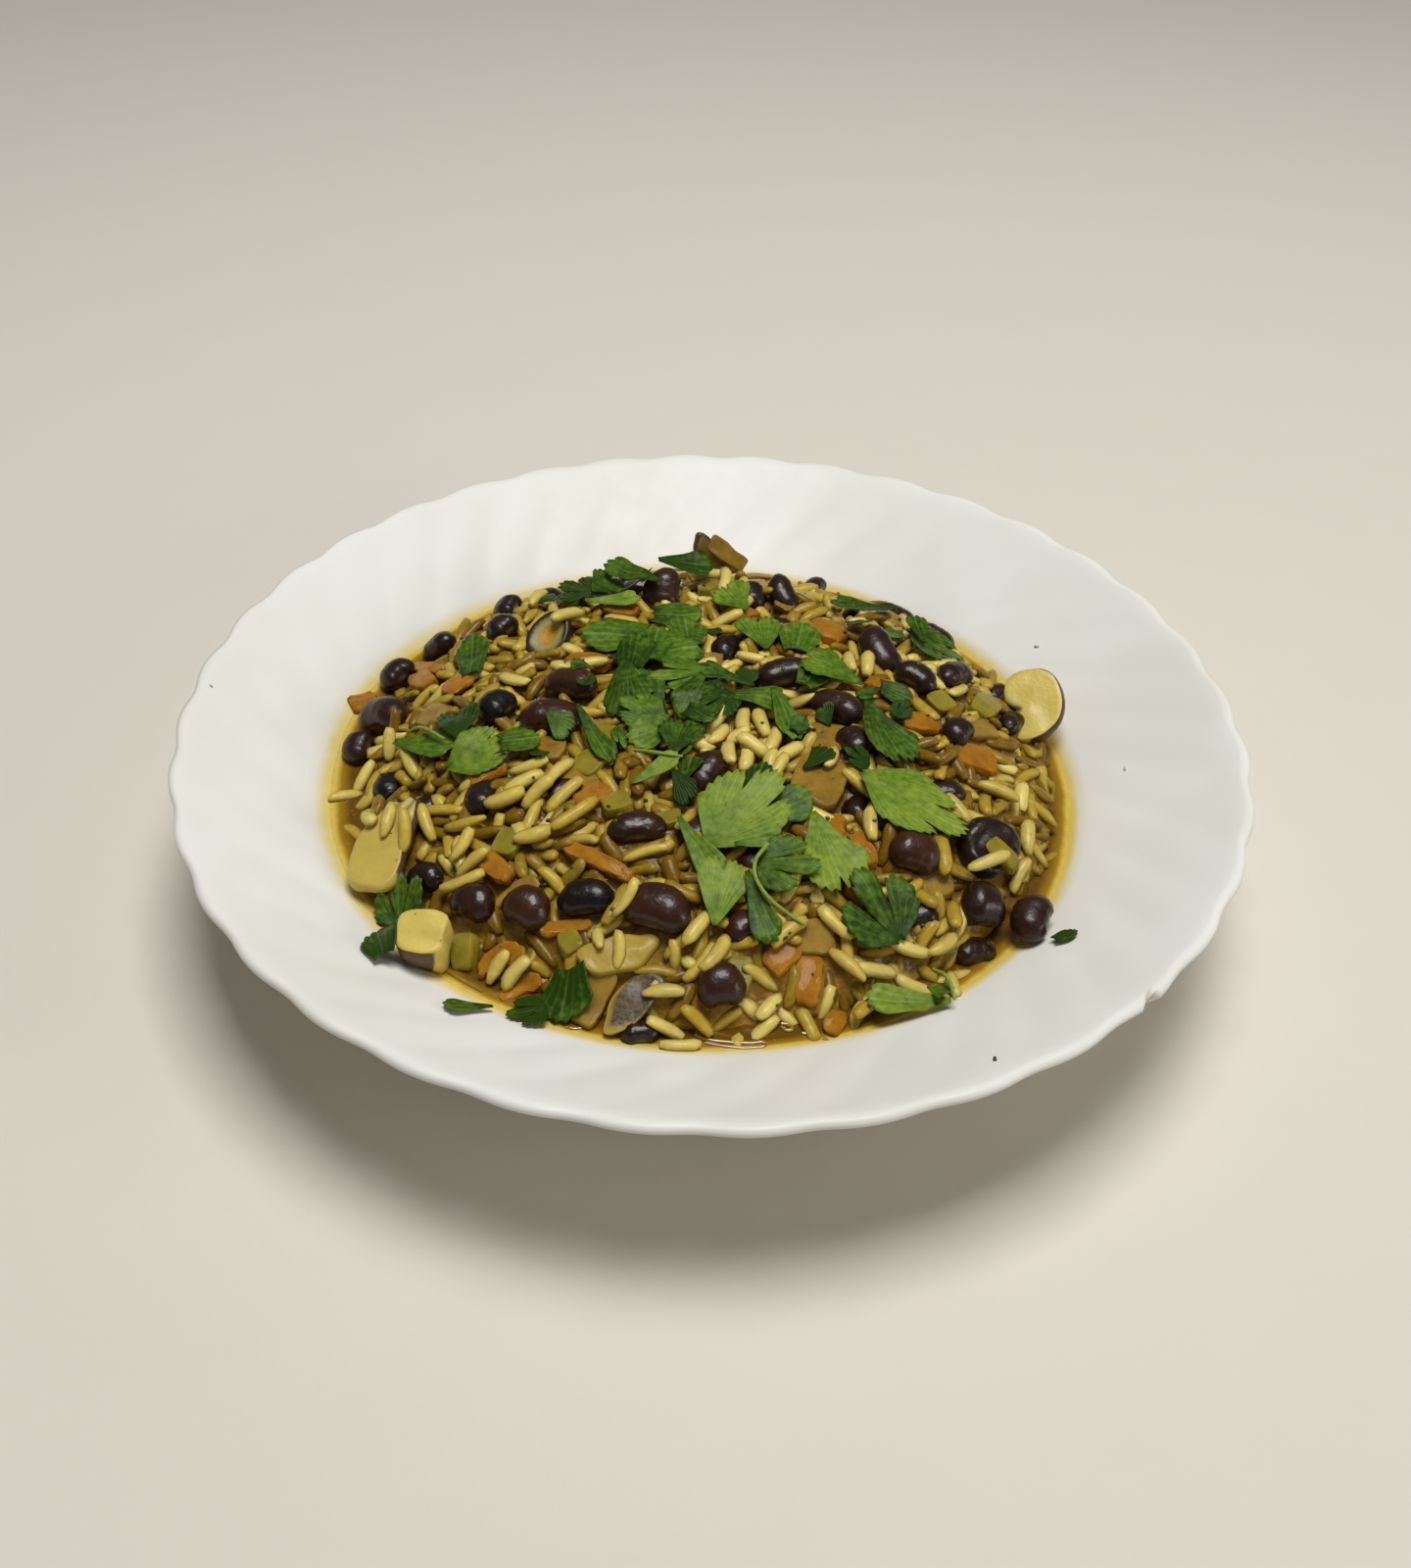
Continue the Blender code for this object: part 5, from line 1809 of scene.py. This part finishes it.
# Each leaf: its cut, x and y of its middle in millimetres, heading of its toothed edge in degrees,
# length and width in millimetres, tone from dark to pale, curl, fold, tilt of its far side in
# degrees, and how high it lies in millimetres.
LEAVES = (
    # on the left
    ("strip", -60.5, -7, -20, 16, 9, 0.45, 0.9, 0.5, 10, 0.6),
    ("kite", -54, -3.5, 100, 13, 10, 0.30, 0.4, 0.3, 8, 0.2),
    ("fan", -48, -14.5, 22, 15, 12, 0.72, 0.4, 0.2, 14, 0.6),
    ("patch", -40, -11, 18, 9, 8, 0.62, 0.3, 0, 14, 0.4),
    ("strip", -24.5, -9, -62, 18, 5, 0.35, 0.5, 0.6, 4, 0.5),
    ("patch", -55, 25, 96, 18, 7.5, 0.38, 0.5, 0.2, 14, 0.6),
    # at the back
    ("lobed", -33, 56, 140, 12, 11, 0.30, 0.5, 0.1, 24, 0.8),
    ("kite", -26.5, 55, 60, 10, 8, 0.22, 0.3, 0.1, 24, 0.5),
    ("strip", -20, 57, 150, 15, 7, 0.50, 0.7, 0.2, 55, 1.2),
    ("strip", -24, 46, 4, 13, 6.5, 0.75, 0.8, 0.6, 10, 0.6),
    ("strip", -7.5, 63, 8, 13, 8.5, 0.30, 0.5, 0.3, 88, 2.6),
    ("patch", -9, 37, 0, 12, 10, 0.42, 0.6, 0, 14, 0.6),
    ("kite", 4.5, 46, 120, 11, 9.5, 0.78, 0.3, 0.1, 16, 0.4),
    ("kite", 10.5, 29.5, 100, 12, 11, 0.72, 0.3, 0.1, 14, 0.4),
    ("patch", 19, 28, 80, 11, 10, 0.45, 0.3, 0, 14, 0.3),
    ("strip", 35, 51, 172, 16, 7, 0.40, 0.8, 0.4, 6, 0.6),
    ("lobed", 51.5, 40, -30, 14, 11, 0.28, 0.5, 0.2, 4, 0.5),
    ("strip", 47, 42, 100, 10, 5, 0.45, 0.7, 0.4, 6, 0.9),
    # the thick of it in the middle
    ("patch", -22.5, 27.5, 176, 16, 11, 0.48, 0.3, 0, 16, 0.4),
    ("patch", -13.5, 25, 84, 14, 9, 0.42, 0.3, 0.1, 14, 0.7),
    ("patch", -17.5, 21, 84, 14, 9, 0.26, 0.3, 0.1, 14, 0.7),
    ("patch", -14.7, 7.4, 110, 12, 9, 0.24, 0.3, 0.1, 14, 0.5),
    ("kite", -2.6, 8.4, 290, 14, 9, 0.26, 0.5, 0.3, 14, 0.9),
    ("patch", -6.5, 30.5, 96, 12, 9, 0.34, 0.3, 0.1, 14, 0.6),
    ("kite", -18.5, 8.5, -84, 17, 11, 0.50, 0.3, 0.1, 14, 0.5),
    ("patch", -8.5, 22, 20, 11, 10, 0.50, 0.3, 0.1, 16, 0.5),
    ("lobed", -8, 12, 190, 13, 12, 0.66, 0.3, 0.1, 18, 0.8),
    ("fan", -15, -0.5, 150, 12, 9.5, 0.62, 0.5, 0.1, 16, 0.6),
    ("patch", -13, -8.5, 200, 10, 8, 0.62, 0.3, 0.2, 14, 0.6),
    ("kite", -7, -10, 80, 11, 10, 0.42, 0.4, 0.1, 14, 0.6),
    ("strip", -11.5, -21, 30, 11, 4, 0.88, 0.3, 0.5, 8, 0.5),
    ("kite", -6, -23, -60, 8, 5, 0.20, 0.3, 0.2, 6, 0.3),
    ("patch", -4, 5, 250, 12, 9, 0.30, 0.4, 0.1, 14, 0.7),
    ("lobed", 1, 1, 240, 11, 9, 0.26, 0.4, 0.1, 14, 0.6),
    ("strip", 2.5, 13, 160, 13, 6.5, 0.36, 0.9, 0.4, 8, 0.9),
    ("strip", 8.5, 6, 0, 15, 7, 0.38, 0.8, 0.3, 8, 0.9),
    ("strip", 15, 0.5, -70, 15, 6.5, 0.70, 0.6, 0.4, 8, 0.5),
    ("patch", 21.5, 14, 60, 10, 7, 0.35, 0.3, 0.1, 10, 0.4),
    ("kite", 26, 17, 158, 14, 10.5, 0.76, 0.3, 0.2, 14, 0.8),
    ("patch", -3, -2, 320, 8, 6, 0.18, 0.3, 0, 12, 0.5),
    ("patch", 18, -4, 60, 5, 4, 0.45, 0.2, 0, 10, 0.4),
    # on the right and in front
    ("kite", 35.9, -4.4, -66, 18, 12, 0.40, 0.6, 0.6, 12, 0.9),
    ("fan", 40.6, -25, -28, 24, 18.5, 0.82, 0.3, 0.1, 12, 0.8),
    ("patch", 9, -24, 70, 8, 6, 0.30, 0.2, 0, 10, 0.3),
    ("patch", 16, -30, 20, 9, 8, 0.40, 0.2, 0, 10, 0.3),
    ("fan", 6.5, -33.2, 52, 23.5, 18.5, 0.86, 0.4, 0.1, 13, 0.9),
    ("strip", 9, -40.5, 12, 9, 3, 0.70, 0.3, 0.1, 10, 0.3),
    ("kite", 23, -41.2, -72, 19, 14, 0.84, 0.3, 0.2, 12, 0.8),
    ("strip", -2, -43, -58, 16, 6, 0.74, 0.6, 0.5, 8, 0.7),
    ("kite", 2, -53, 82, 14, 10, 0.84, 0.3, 0.1, 12, 0.5),
    ("lobed", 15, -46, -12, 13, 12, 0.66, 0.6, 0.2, 12, 0.6),
    ("strip", 9.5, -55.5, -70, 14, 6, 0.22, 0.5, 0.4, 6, 0.4),
    ("lobed", 32, -52.5, 128, 15, 16, 0.52, 0.4, 0.2, 14, 0.6),
    ("strip", 37.5, -68, 184, 16, 6.5, 0.76, 0.7, 0.4, 10, 1),
    ("kite", 43.5, -65, 75, 7, 5, 0.62, 0.4, 0.1, 18, 1.2),
    ("patch", 69, -52, 20, 5, 3.5, 0.20, 0.3, 0, 4, 0.2),
    ("patch", -26, -69.8, 262, 9.5, 10.5, 0.14, 0.3, 0.1, 0, 0.1),
    ("lobed", -33, -73.5, 200, 8, 9, 0.18, 0.3, 0, 0, 0.3),
    ("lobed", -60.8, -46.2, 100, 10, 10, 0.26, 0.3, 0.1, 0, 0.2),
    ("patch", -61.6, -58, 110, 9, 7.5, 0.28, 0.3, 0.1, 0, 0.3),
    ("strip", -43.4, -74.5, 200, 9, 4, 0.24, 0.6, 0.2, 4, 0.3),
)

# Where small scraps lie: x and y of the middle and spread across and along in millimetres, count.
SCRAPS = (
    (-13, 14, 9, 13, 26), (4, 7, 10, 5, 8), (-26, 54, 7, 4, 6),
    (30, 8, 8, 8, 6), (-2, -24, 12, 8, 5), (46, 40, 8, 5, 4),
)

# Stems, each a line of points: x and y in millimetres and how high over what lies there.
STEMS = (
    ((11, -46, 1.2), (8.5, -50, 1.4), (10, -56, 1), (15, -59, 0.9), (18, -61, 0.8)),
    ((-18, 58, 1), (-16, 62, 1.6), (-12, 64, 2.2), (-8, 63, 1.2)),
    ((-66, -2, 0.6), (-62, -6, 0.9), (-56, -12, 0.8)),
    ((-16, -18, 1), (-11, -21, 1.2), (-6, -22, 0.8)),
    ((43, -62, 1.2), (45, -67, 1.6), (46, -71, 0.8)),
)


def model_leaf(cut):
    """A flat cut leaf from -1 to 1 along X, its toothed edge at +X, and its veins."""
    spread, start, lobes, lobe_depth, teeth, tooth = LEAF_CUTS[cut]
    deselect()
    across = 4 * teeth
    bpy.ops.mesh.primitive_grid_add(x_subdivisions=8, y_subdivisions=across, size=2.0)
    leaf = bpy.context.object
    points = points_of(leaf)
    out, side = (points[:, 0] + 1) / 2, points[:, 1]
    angle = side * math.radians(spread) / 2
    slits = [2 * (i + 1) / lobes - 1.0 for i in range(lobes - 1)]
    slit = sum(
        (np.maximum(0.0, 1.0 - np.abs(side - at) * teeth / 1.1) for at in slits),
        np.zeros(len(side)),
    )
    crown = np.abs(np.sin((side + 1) * math.pi * lobes / 2)) if lobes > 1 else np.cos(side * 1.2)
    reach = 1.0 - 0.12 * side**2 - (0.3 * lobe_depth + 0.04) * (1.0 - crown) - lobe_depth * slit
    saw = (np.abs(((side + 1) * teeth / 2) % 1.0 - 0.5) * 2) ** 1.4
    reach = (
        reach - tooth * saw * out**3 * (0.8 + 0.5 * np.sin(side * 7.3) * np.sin(side * 2.9 + 1.0))
    )
    along = start + out * (reach - start)
    flat = np.column_stack((along * np.cos(angle), along * np.sin(angle), np.zeros(len(points))))
    flat[:, :2] -= (flat[:, :2].min(0) + flat[:, :2].max(0)) / 2
    flat[:, :2] /= np.abs(flat[:, :2]).max(0)
    set_points(leaf, flat)
    flat, triangles = pattern_of(leaf)
    main = np.exp(-((side / 0.025) ** 2))
    nearest = np.abs(((side + 1) * (teeth / 2)) % 1.0 - 0.5) * 2
    small = np.exp(-(((1 - nearest) / 0.16) ** 2)) * (0.3 + 0.5 * out)
    return flat, triangles, np.maximum(main, 0.75 * small)


EYE_BACK = 0.271  # how far in front of the plate's middle the viewer stands
EYE_OVER_HEAP = 0.208


def nearer(y, rise):
    """How far towards the viewer a raised piece must lie to be seen at the same place."""
    return (EYE_BACK + y) / EYE_OVER_HEAP * rise


class Cover:
    """The heights that the herbs lie on, which each herb raises in turn."""

    def __init__(self):
        self.over = ground()
        self.heights = self.over.softened(1.6 * MM)

    def at(self, x, y):
        return self.over.sample(self.heights, x, y)

    def raise_to(self, points):
        for x, y, z in points:
            i, j = self.over.cell(x), self.over.cell(y)
            part = self.heights[i - 2 : i + 3, j - 2 : j + 3]
            np.maximum(part, z + 0.15 * MM, out=part)


def leaf_finish(settings):
    made = Finish(
        "coriander", 0.45, IOR=1.36, Specular_IOR_Level=0.22, Subsurface_Weight=0.05,
        Subsurface_Scale=0.001,
    )
    cloud = made.uneven(1.1, 0.003, 5.0, 0.7)
    # Each small cell of the leaf is painted lighter in its middle and darker at its edge: painted
    # shade of the leaf pillowed between its veins.
    painted_pillow_shade = made.times(made.math("SUBTRACT", 0.45, made.cells(0.0014)), 0.35)
    tone = made.plus(made.plus(made.mark("tone"), cloud), painted_pillow_shade)
    leaf = made.ramp(tone, (0.10, settings.dark), (0.52, settings.green), (1.0, settings.bright))
    vein = made.times(made.mark("vein"), made.plus(made.times(made.mark("tone"), 0.35), 0.08))
    made.paint(made.mix(vein, leaf, tint(170, 188, 118)))
    made.gloss(made.ramp(made.noise(0.002, 3.0), (0.35, 0.30), (0.7, 0.5)))
    relief = made.math("SUBTRACT", made.noise(0.0008, 3.0), made.cells(0.0014))
    made.bump(made.math("SUBTRACT", relief, made.mark("vein")), 0.00012, 0.6)
    return made.material


def tube(line, radius):
    """A thin tube along points, as points and triangles, closed at its ends."""
    curve = bpy.data.curves.new("stem_line", "CURVE")
    curve.dimensions = "3D"
    curve.bevel_depth = radius
    curve.bevel_resolution = 1
    curve.use_fill_caps = True
    curve.resolution_u = 5
    spline = curve.splines.new("BEZIER")
    spline.bezier_points.add(len(line) - 1)
    for knot, at in zip(spline.bezier_points, line):
        knot.co = at
        knot.handle_left_type = knot.handle_right_type = "AUTO"
        knot.radius = 1.0 - 0.25 * (at == line[-1])
    obj = bpy.data.objects.new("stem", curve)
    bpy.context.scene.collection.objects.link(obj)
    choose(obj)
    bpy.ops.object.convert(target="MESH")
    return pattern_of(bpy.context.object)


class MEAL_OT_herbs(bpy.types.Operator):
    """Strew the chopped coriander leaves and their stems over the top"""

    bl_idname = "meal.herbs"
    bl_label = "Coriander"

    def execute(self, context):
        settings = context.scene.meal_herbs
        cover = Cover()
        cuts = {cut: model_leaf(cut) for cut in LEAF_CUTS}
        rows = self.scraps() + list(LEAVES)
        copies = [self.leaf(cover, cuts[cut], row, i) for i, (cut, *row) in enumerate(rows)]
        finish = leaf_finish(settings)
        leaves = new_piece("coriander_leaves", *join_copies(copies), finish, "herb")
        apply_modifier(leaves, "SOLIDIFY", thickness=settings.thickness, offset=0.0)
        stems = []
        for line in STEMS:
            places = [
                (x * MM, y * MM, min(float(cover.at(x * MM, y * MM)) + up * MM, TOP - 0.6 * MM))
                for x, y, up in line
            ]
            points, triangles = tube(places, 0.42 * MM)
            stems.append((points, triangles, {"tone": 0.95, "vein": 0.45}))
        new_piece("coriander_stems", *join_copies(stems), finish, "herb")
        return {"FINISHED"}

    def scraps(self):
        """Small dark cuttings under the larger leaves where the herbs lie thick, given the tones of
        leaves in shade: painted shade under the larger leaves.
        """
        random = np.random.default_rng(11)
        rows = []
        for x, y, wide, deep, count in SCRAPS:
            for _ in range(count):
                cut = ("kite", "patch", "strip", "lobed")[random.integers(4)]
                at = (x + random.normal() * wide, y + random.normal() * deep)
                if math.hypot(at[0] - 5.0, at[1] + 10.0) < 10.0:
                    continue
                size = (random.uniform(4.5, 8.5), random.uniform(3.0, 6.0))
                heading = random.uniform(0, 360)
                tone, fold = random.uniform(0.05, 0.5), random.uniform(0.0, 0.4)
                rows.append((cut, *at, heading, *size, tone, 0.5, fold, 0, 0.2))
        return rows

    def leaf(self, cover, cut, row, seed):
        flat, triangles, vein = cut
        x, y, heading, long, wide, tone, curl, fold, tilt, lift = row
        heading = math.radians(heading)
        body = flat * np.array((long / 2, wide / 2, 1.0)) * MM
        warp = np.array(
            [noise.noise(Vector((px * 1.3 + seed, py * 1.1, seed * 0.7))) for px, py in flat[:, :2]]
        )
        body[:, 1] *= 1.0 + 0.12 * warp
        at_x = x * MM + body[:, 0] * math.cos(heading) - body[:, 1] * math.sin(heading)
        seen_y = y * MM + body[:, 0] * math.sin(heading) + body[:, 1] * math.cos(heading)
        up = lift * MM + fold * np.abs(flat[:, 1]) * wide * 0.22 * MM
        up = up + curl * (flat[:, 0] ** 2 - 0.3) * long * 0.06 * MM + 0.03 * long * MM * warp
        up = up + (seen_y - y * MM) * math.tan(math.radians(0.4 * tilt))
        below = max(float(heap_height(x * MM, y * MM)), float(upper_side(math.hypot(x, y) * MM)))
        at_y = seen_y
        for _ in range(3):
            lies = cover.at(at_x, at_y)
            height = self.rest(at_x, at_y, lies) + up
            at_y = seen_y - nearer(y * MM, float(np.clip(height.mean() - below, 0.0, 6 * MM)))
        lies = cover.at(at_x, at_y)
        height = self.rest(at_x, at_y, lies) + up
        pushed = np.maximum(0.0, lies + 0.1 * MM - height)
        apart = (at_x[:, None] - at_x) ** 2 + (at_y[:, None] - at_y) ** 2
        height = height + (pushed * np.exp(-apart / (2.6 * MM) ** 2)).max(1)
        height = np.maximum(height, upper_side(np.hypot(at_x, at_y)) + 0.5 * MM)
        points = np.column_stack((at_x, at_y, np.minimum(height, TOP - 0.3 * MM - 0.2 * MM * warp)))
        cover.raise_to(points)
        dulled = (
            0.10 * np.array([noise.noise(Vector((px * 2, py * 2, seed))) for px, py in flat[:, :2]])
        )
        dark = tone < 0.8
        # The leaf is painted lighter towards its toothed edge and darker towards its base: a
        # painted shade along it.
        tone = tone - 0.10 * dark + 0.16 * math.sin(seed * 2.7) * dark + dulled + 0.14 * flat[:, 0]
        return points, triangles, {"vein": vein, "tone": tone}

    def rest(self, x, y, lies):
        """A flat blade's height where it comes to rest on what lies under it."""
        slope = np.column_stack((x - x.mean(), y - y.mean(), np.ones(len(x))))
        plane = slope @ np.linalg.lstsq(slope, lies, rcond=None)[0]
        return plane + np.quantile(lies - plane, 0.75)


# ---------------------------------------------------------------- specks

# Specks on the glass: x, y, length, width in millimetres, and whether they are green.
RIM_SPECKS = (
    (49.3, -93.5, 1.7, 0.8, 0),
    (77.6, 44.2, 1.5, 0.9, 1),
    (90.1, -2.5, 1.6, 0.7, 1),
    (-109, 4, 1.3, 0.8, 1),
)


CRUMBS = 230


class MEAL_OT_specks(bpy.types.Operator):
    """Scatter the crumbs of herb and pepper over the rice, and the few on the rim"""

    bl_idname = "meal.specks"
    bl_label = "Specks"

    def execute(self, context):
        deselect()
        bpy.ops.mesh.primitive_ico_sphere_add(subdivisions=1, radius=1.0)
        crumb = bpy.context.object
        into_edit(crumb)
        pick(crumb, lambda at: at.x > 0.4)
        bpy.ops.transform.resize(value=(1.2, 0.6, 0.8))
        out_of_edit()
        pattern, triangles = pattern_of(crumb)
        random = np.random.default_rng(context.scene.meal_rice.seed + 4)
        over = ground()
        copies = []
        for _ in range(CRUMBS):
            radius, around = 74 * MM * math.sqrt(random.random()), random.uniform(-math.pi, math.pi)
            x, y = radius * math.cos(around), radius * math.sin(around)
            size = random.uniform(0.25, 0.75) * MM
            z = float(over.sample(over.height, np.array([x]), np.array([y]))[0])
            copies.append(
                self.crumb(
                    pattern, triangles, x, y, z, size, size * 0.7, random,
                    0.5 * (random.random() < 0.6),
                )
            )
        for x, y, long, wide, green in RIM_SPECKS:
            z = float(upper_side(math.hypot(x, y) * MM)) + 0.15 * MM
            copies.append(
                self.crumb(
                    pattern, triangles, x * MM, y * MM, z, long * MM / 2, wide * MM / 2, random,
                    green,
                )
            )
        made = Finish("crumb", 0.5)
        shades = made.mix(made.noise(0.0008, 3.0), tint(44, 32, 20), tint(84, 62, 34))
        greens = made.ramp(made.mark("green"), (0.5, tint(74, 92, 34)), (0.7, tint(204, 214, 180)))
        made.paint(made.mix(made.ramp(made.mark("green"), (0.2, 0.0), (0.4, 1.0)), shades, greens))
        made.bump(made.noise(0.0003, 3.0), 0.0001)
        new_piece("crumbs", *join_copies(copies), made.material, "herb")
        return {"FINISHED"}

    def crumb(self, pattern, triangles, x, y, z, long, wide, random, green):
        turn = turned_by(random.uniform(0, 6.28), random.uniform(-0.3, 0.3))
        points = (pattern * (long, wide, min(wide, 0.35 * MM))) @ turn.T + (x, y, z)
        points[:, 2] = np.minimum(points[:, 2], TOP - 0.1 * MM)
        return points, triangles, {"green": float(green)}


# ---------------------------------------------------------------- the stage


class MEAL_OT_stage(bpy.types.Operator):
    """Lay the floor, hang the soft lamps and set the camera"""

    bl_idname = "meal.stage"
    bl_label = "Stage"

    def execute(self, context):
        settings = context.scene.meal_stage
        self.floor(settings)
        self.lamps(context)
        self.camera(context, settings)
        return {"FINISHED"}

    def floor(self, settings):
        deselect()
        bpy.ops.mesh.primitive_plane_add(size=settings.floor_width, location=(0, 0, 0))
        floor = bpy.context.object
        floor.name = "floor"
        bpy.ops.object.transform_apply(location=True, rotation=True, scale=True)
        made = Finish("floor_paint", 0.75)
        made.paint(
            made.mix(
                made.noise(0.02, 4.0), settings.floor,
                tuple(0.97 * share for share in settings.floor),
            )
        )
        made.bump(made.noise(0.0015, 3.0), 0.0001, 0.3)
        floor.data.materials.append(made.material)

    def lamps(self, context):
        for name, place, size, power, colour in (
            ("overhead_lamp", (0.10, 0.06, 1.30), 0.60, 13.6, (1.0, 0.995, 0.985)),
            ("side_lamp", (1.05, -0.42, 0.42), 0.40, 2.4, (1.0, 0.99, 0.96)),
        ):
            light = bpy.data.lights.new(name, "AREA")
            light.shape = "SQUARE"
            light.size = size
            light.energy = power
            light.color = colour
            lamp = bpy.data.objects.new(name, light)
            context.scene.collection.objects.link(lamp)
            lamp.location = place
            lamp.rotation_euler = Vector(place).to_track_quat("Z", "Y").to_euler()
        world = bpy.data.worlds.new("soft_room")
        world.use_nodes = True
        background = world.node_tree.nodes["Background"]
        background.inputs["Color"].default_value = (1.0, 0.99, 0.97, 1.0)
        background.inputs["Strength"].default_value = 0.13
        context.scene.world = world
        context.scene.view_settings.view_transform = "Standard"

    def camera(self, context, settings):
        """Look down at the plate at forty degrees, from a third of a metre."""
        down, roll = math.radians(39.85), 0.0272
        distance = 3.02 * PLATE_RADIUS
        aside, above = 0.0111 * PLATE_RADIUS, 0.143 * PLATE_RADIUS
        right, forward = Vector((1, 0, 0)), Vector((0, math.cos(down), -math.sin(down)))
        up = Vector((0, math.sin(down), math.cos(down)))
        rim_middle = Vector((0, 0, 36 * MM))
        place = rim_middle - right * aside - up * above - forward * distance
        turned_right = right * math.cos(roll) + up * math.sin(roll)
        turned_up = up * math.cos(roll) - right * math.sin(roll)
        view = bpy.data.cameras.new("camera")
        view.sensor_width = SENSOR_WIDTH
        view.sensor_fit = "AUTO"
        view.lens = settings.lens
        view.clip_start = 0.01
        camera = bpy.data.objects.new("camera", view)
        context.scene.collection.objects.link(camera)
        axes = Matrix((turned_right, turned_up, -forward)).transposed().to_4x4()
        camera.matrix_world = Matrix.Translation(place) @ axes
        context.scene.camera = camera


# ---------------------------------------------------------------- the sidebar


OPERATORS = (
    MEAL_OT_stage,
    MEAL_OT_plate,
    MEAL_OT_broth,
    MEAL_OT_mushrooms,
    MEAL_OT_vegetables,
    MEAL_OT_beans,
    MEAL_OT_rice,
    MEAL_OT_herbs,
    MEAL_OT_specks,
)


class MEAL_PT_parts(bpy.types.Panel):
    """The pieces of the rice and beans plate, with the sizes and colours that change them"""

    bl_label = "Rice and beans plate"
    bl_space_type = "VIEW_3D"
    bl_region_type = "UI"
    bl_category = "Meal"

    def draw(self, context):
        for operator in OPERATORS:
            self.layout.operator(operator.bl_idname)
        for name, kind in SETTINGS:
            box = self.layout.box()
            box.label(text=kind.__name__.replace("Settings", ""))
            for setting in kind.__annotations__:
                box.prop(getattr(context.scene, name), setting)


CLASSES = tuple(kind for _, kind in SETTINGS) + OPERATORS + (MEAL_PT_parts,)


def register():
    for kind in CLASSES:
        bpy.utils.register_class(kind)
    for name, kind in SETTINGS:
        setattr(bpy.types.Scene, name, PointerProperty(type=kind))


def unregister():
    for name, _ in SETTINGS:
        delattr(bpy.types.Scene, name)
    for kind in reversed(CLASSES):
        bpy.utils.unregister_class(kind)


def main():
    register()
    for operator in OPERATORS:
        family, name = operator.bl_idname.split(".")
        getattr(getattr(bpy.ops, family), name)()
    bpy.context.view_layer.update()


if __name__ == "__main__":
    main()
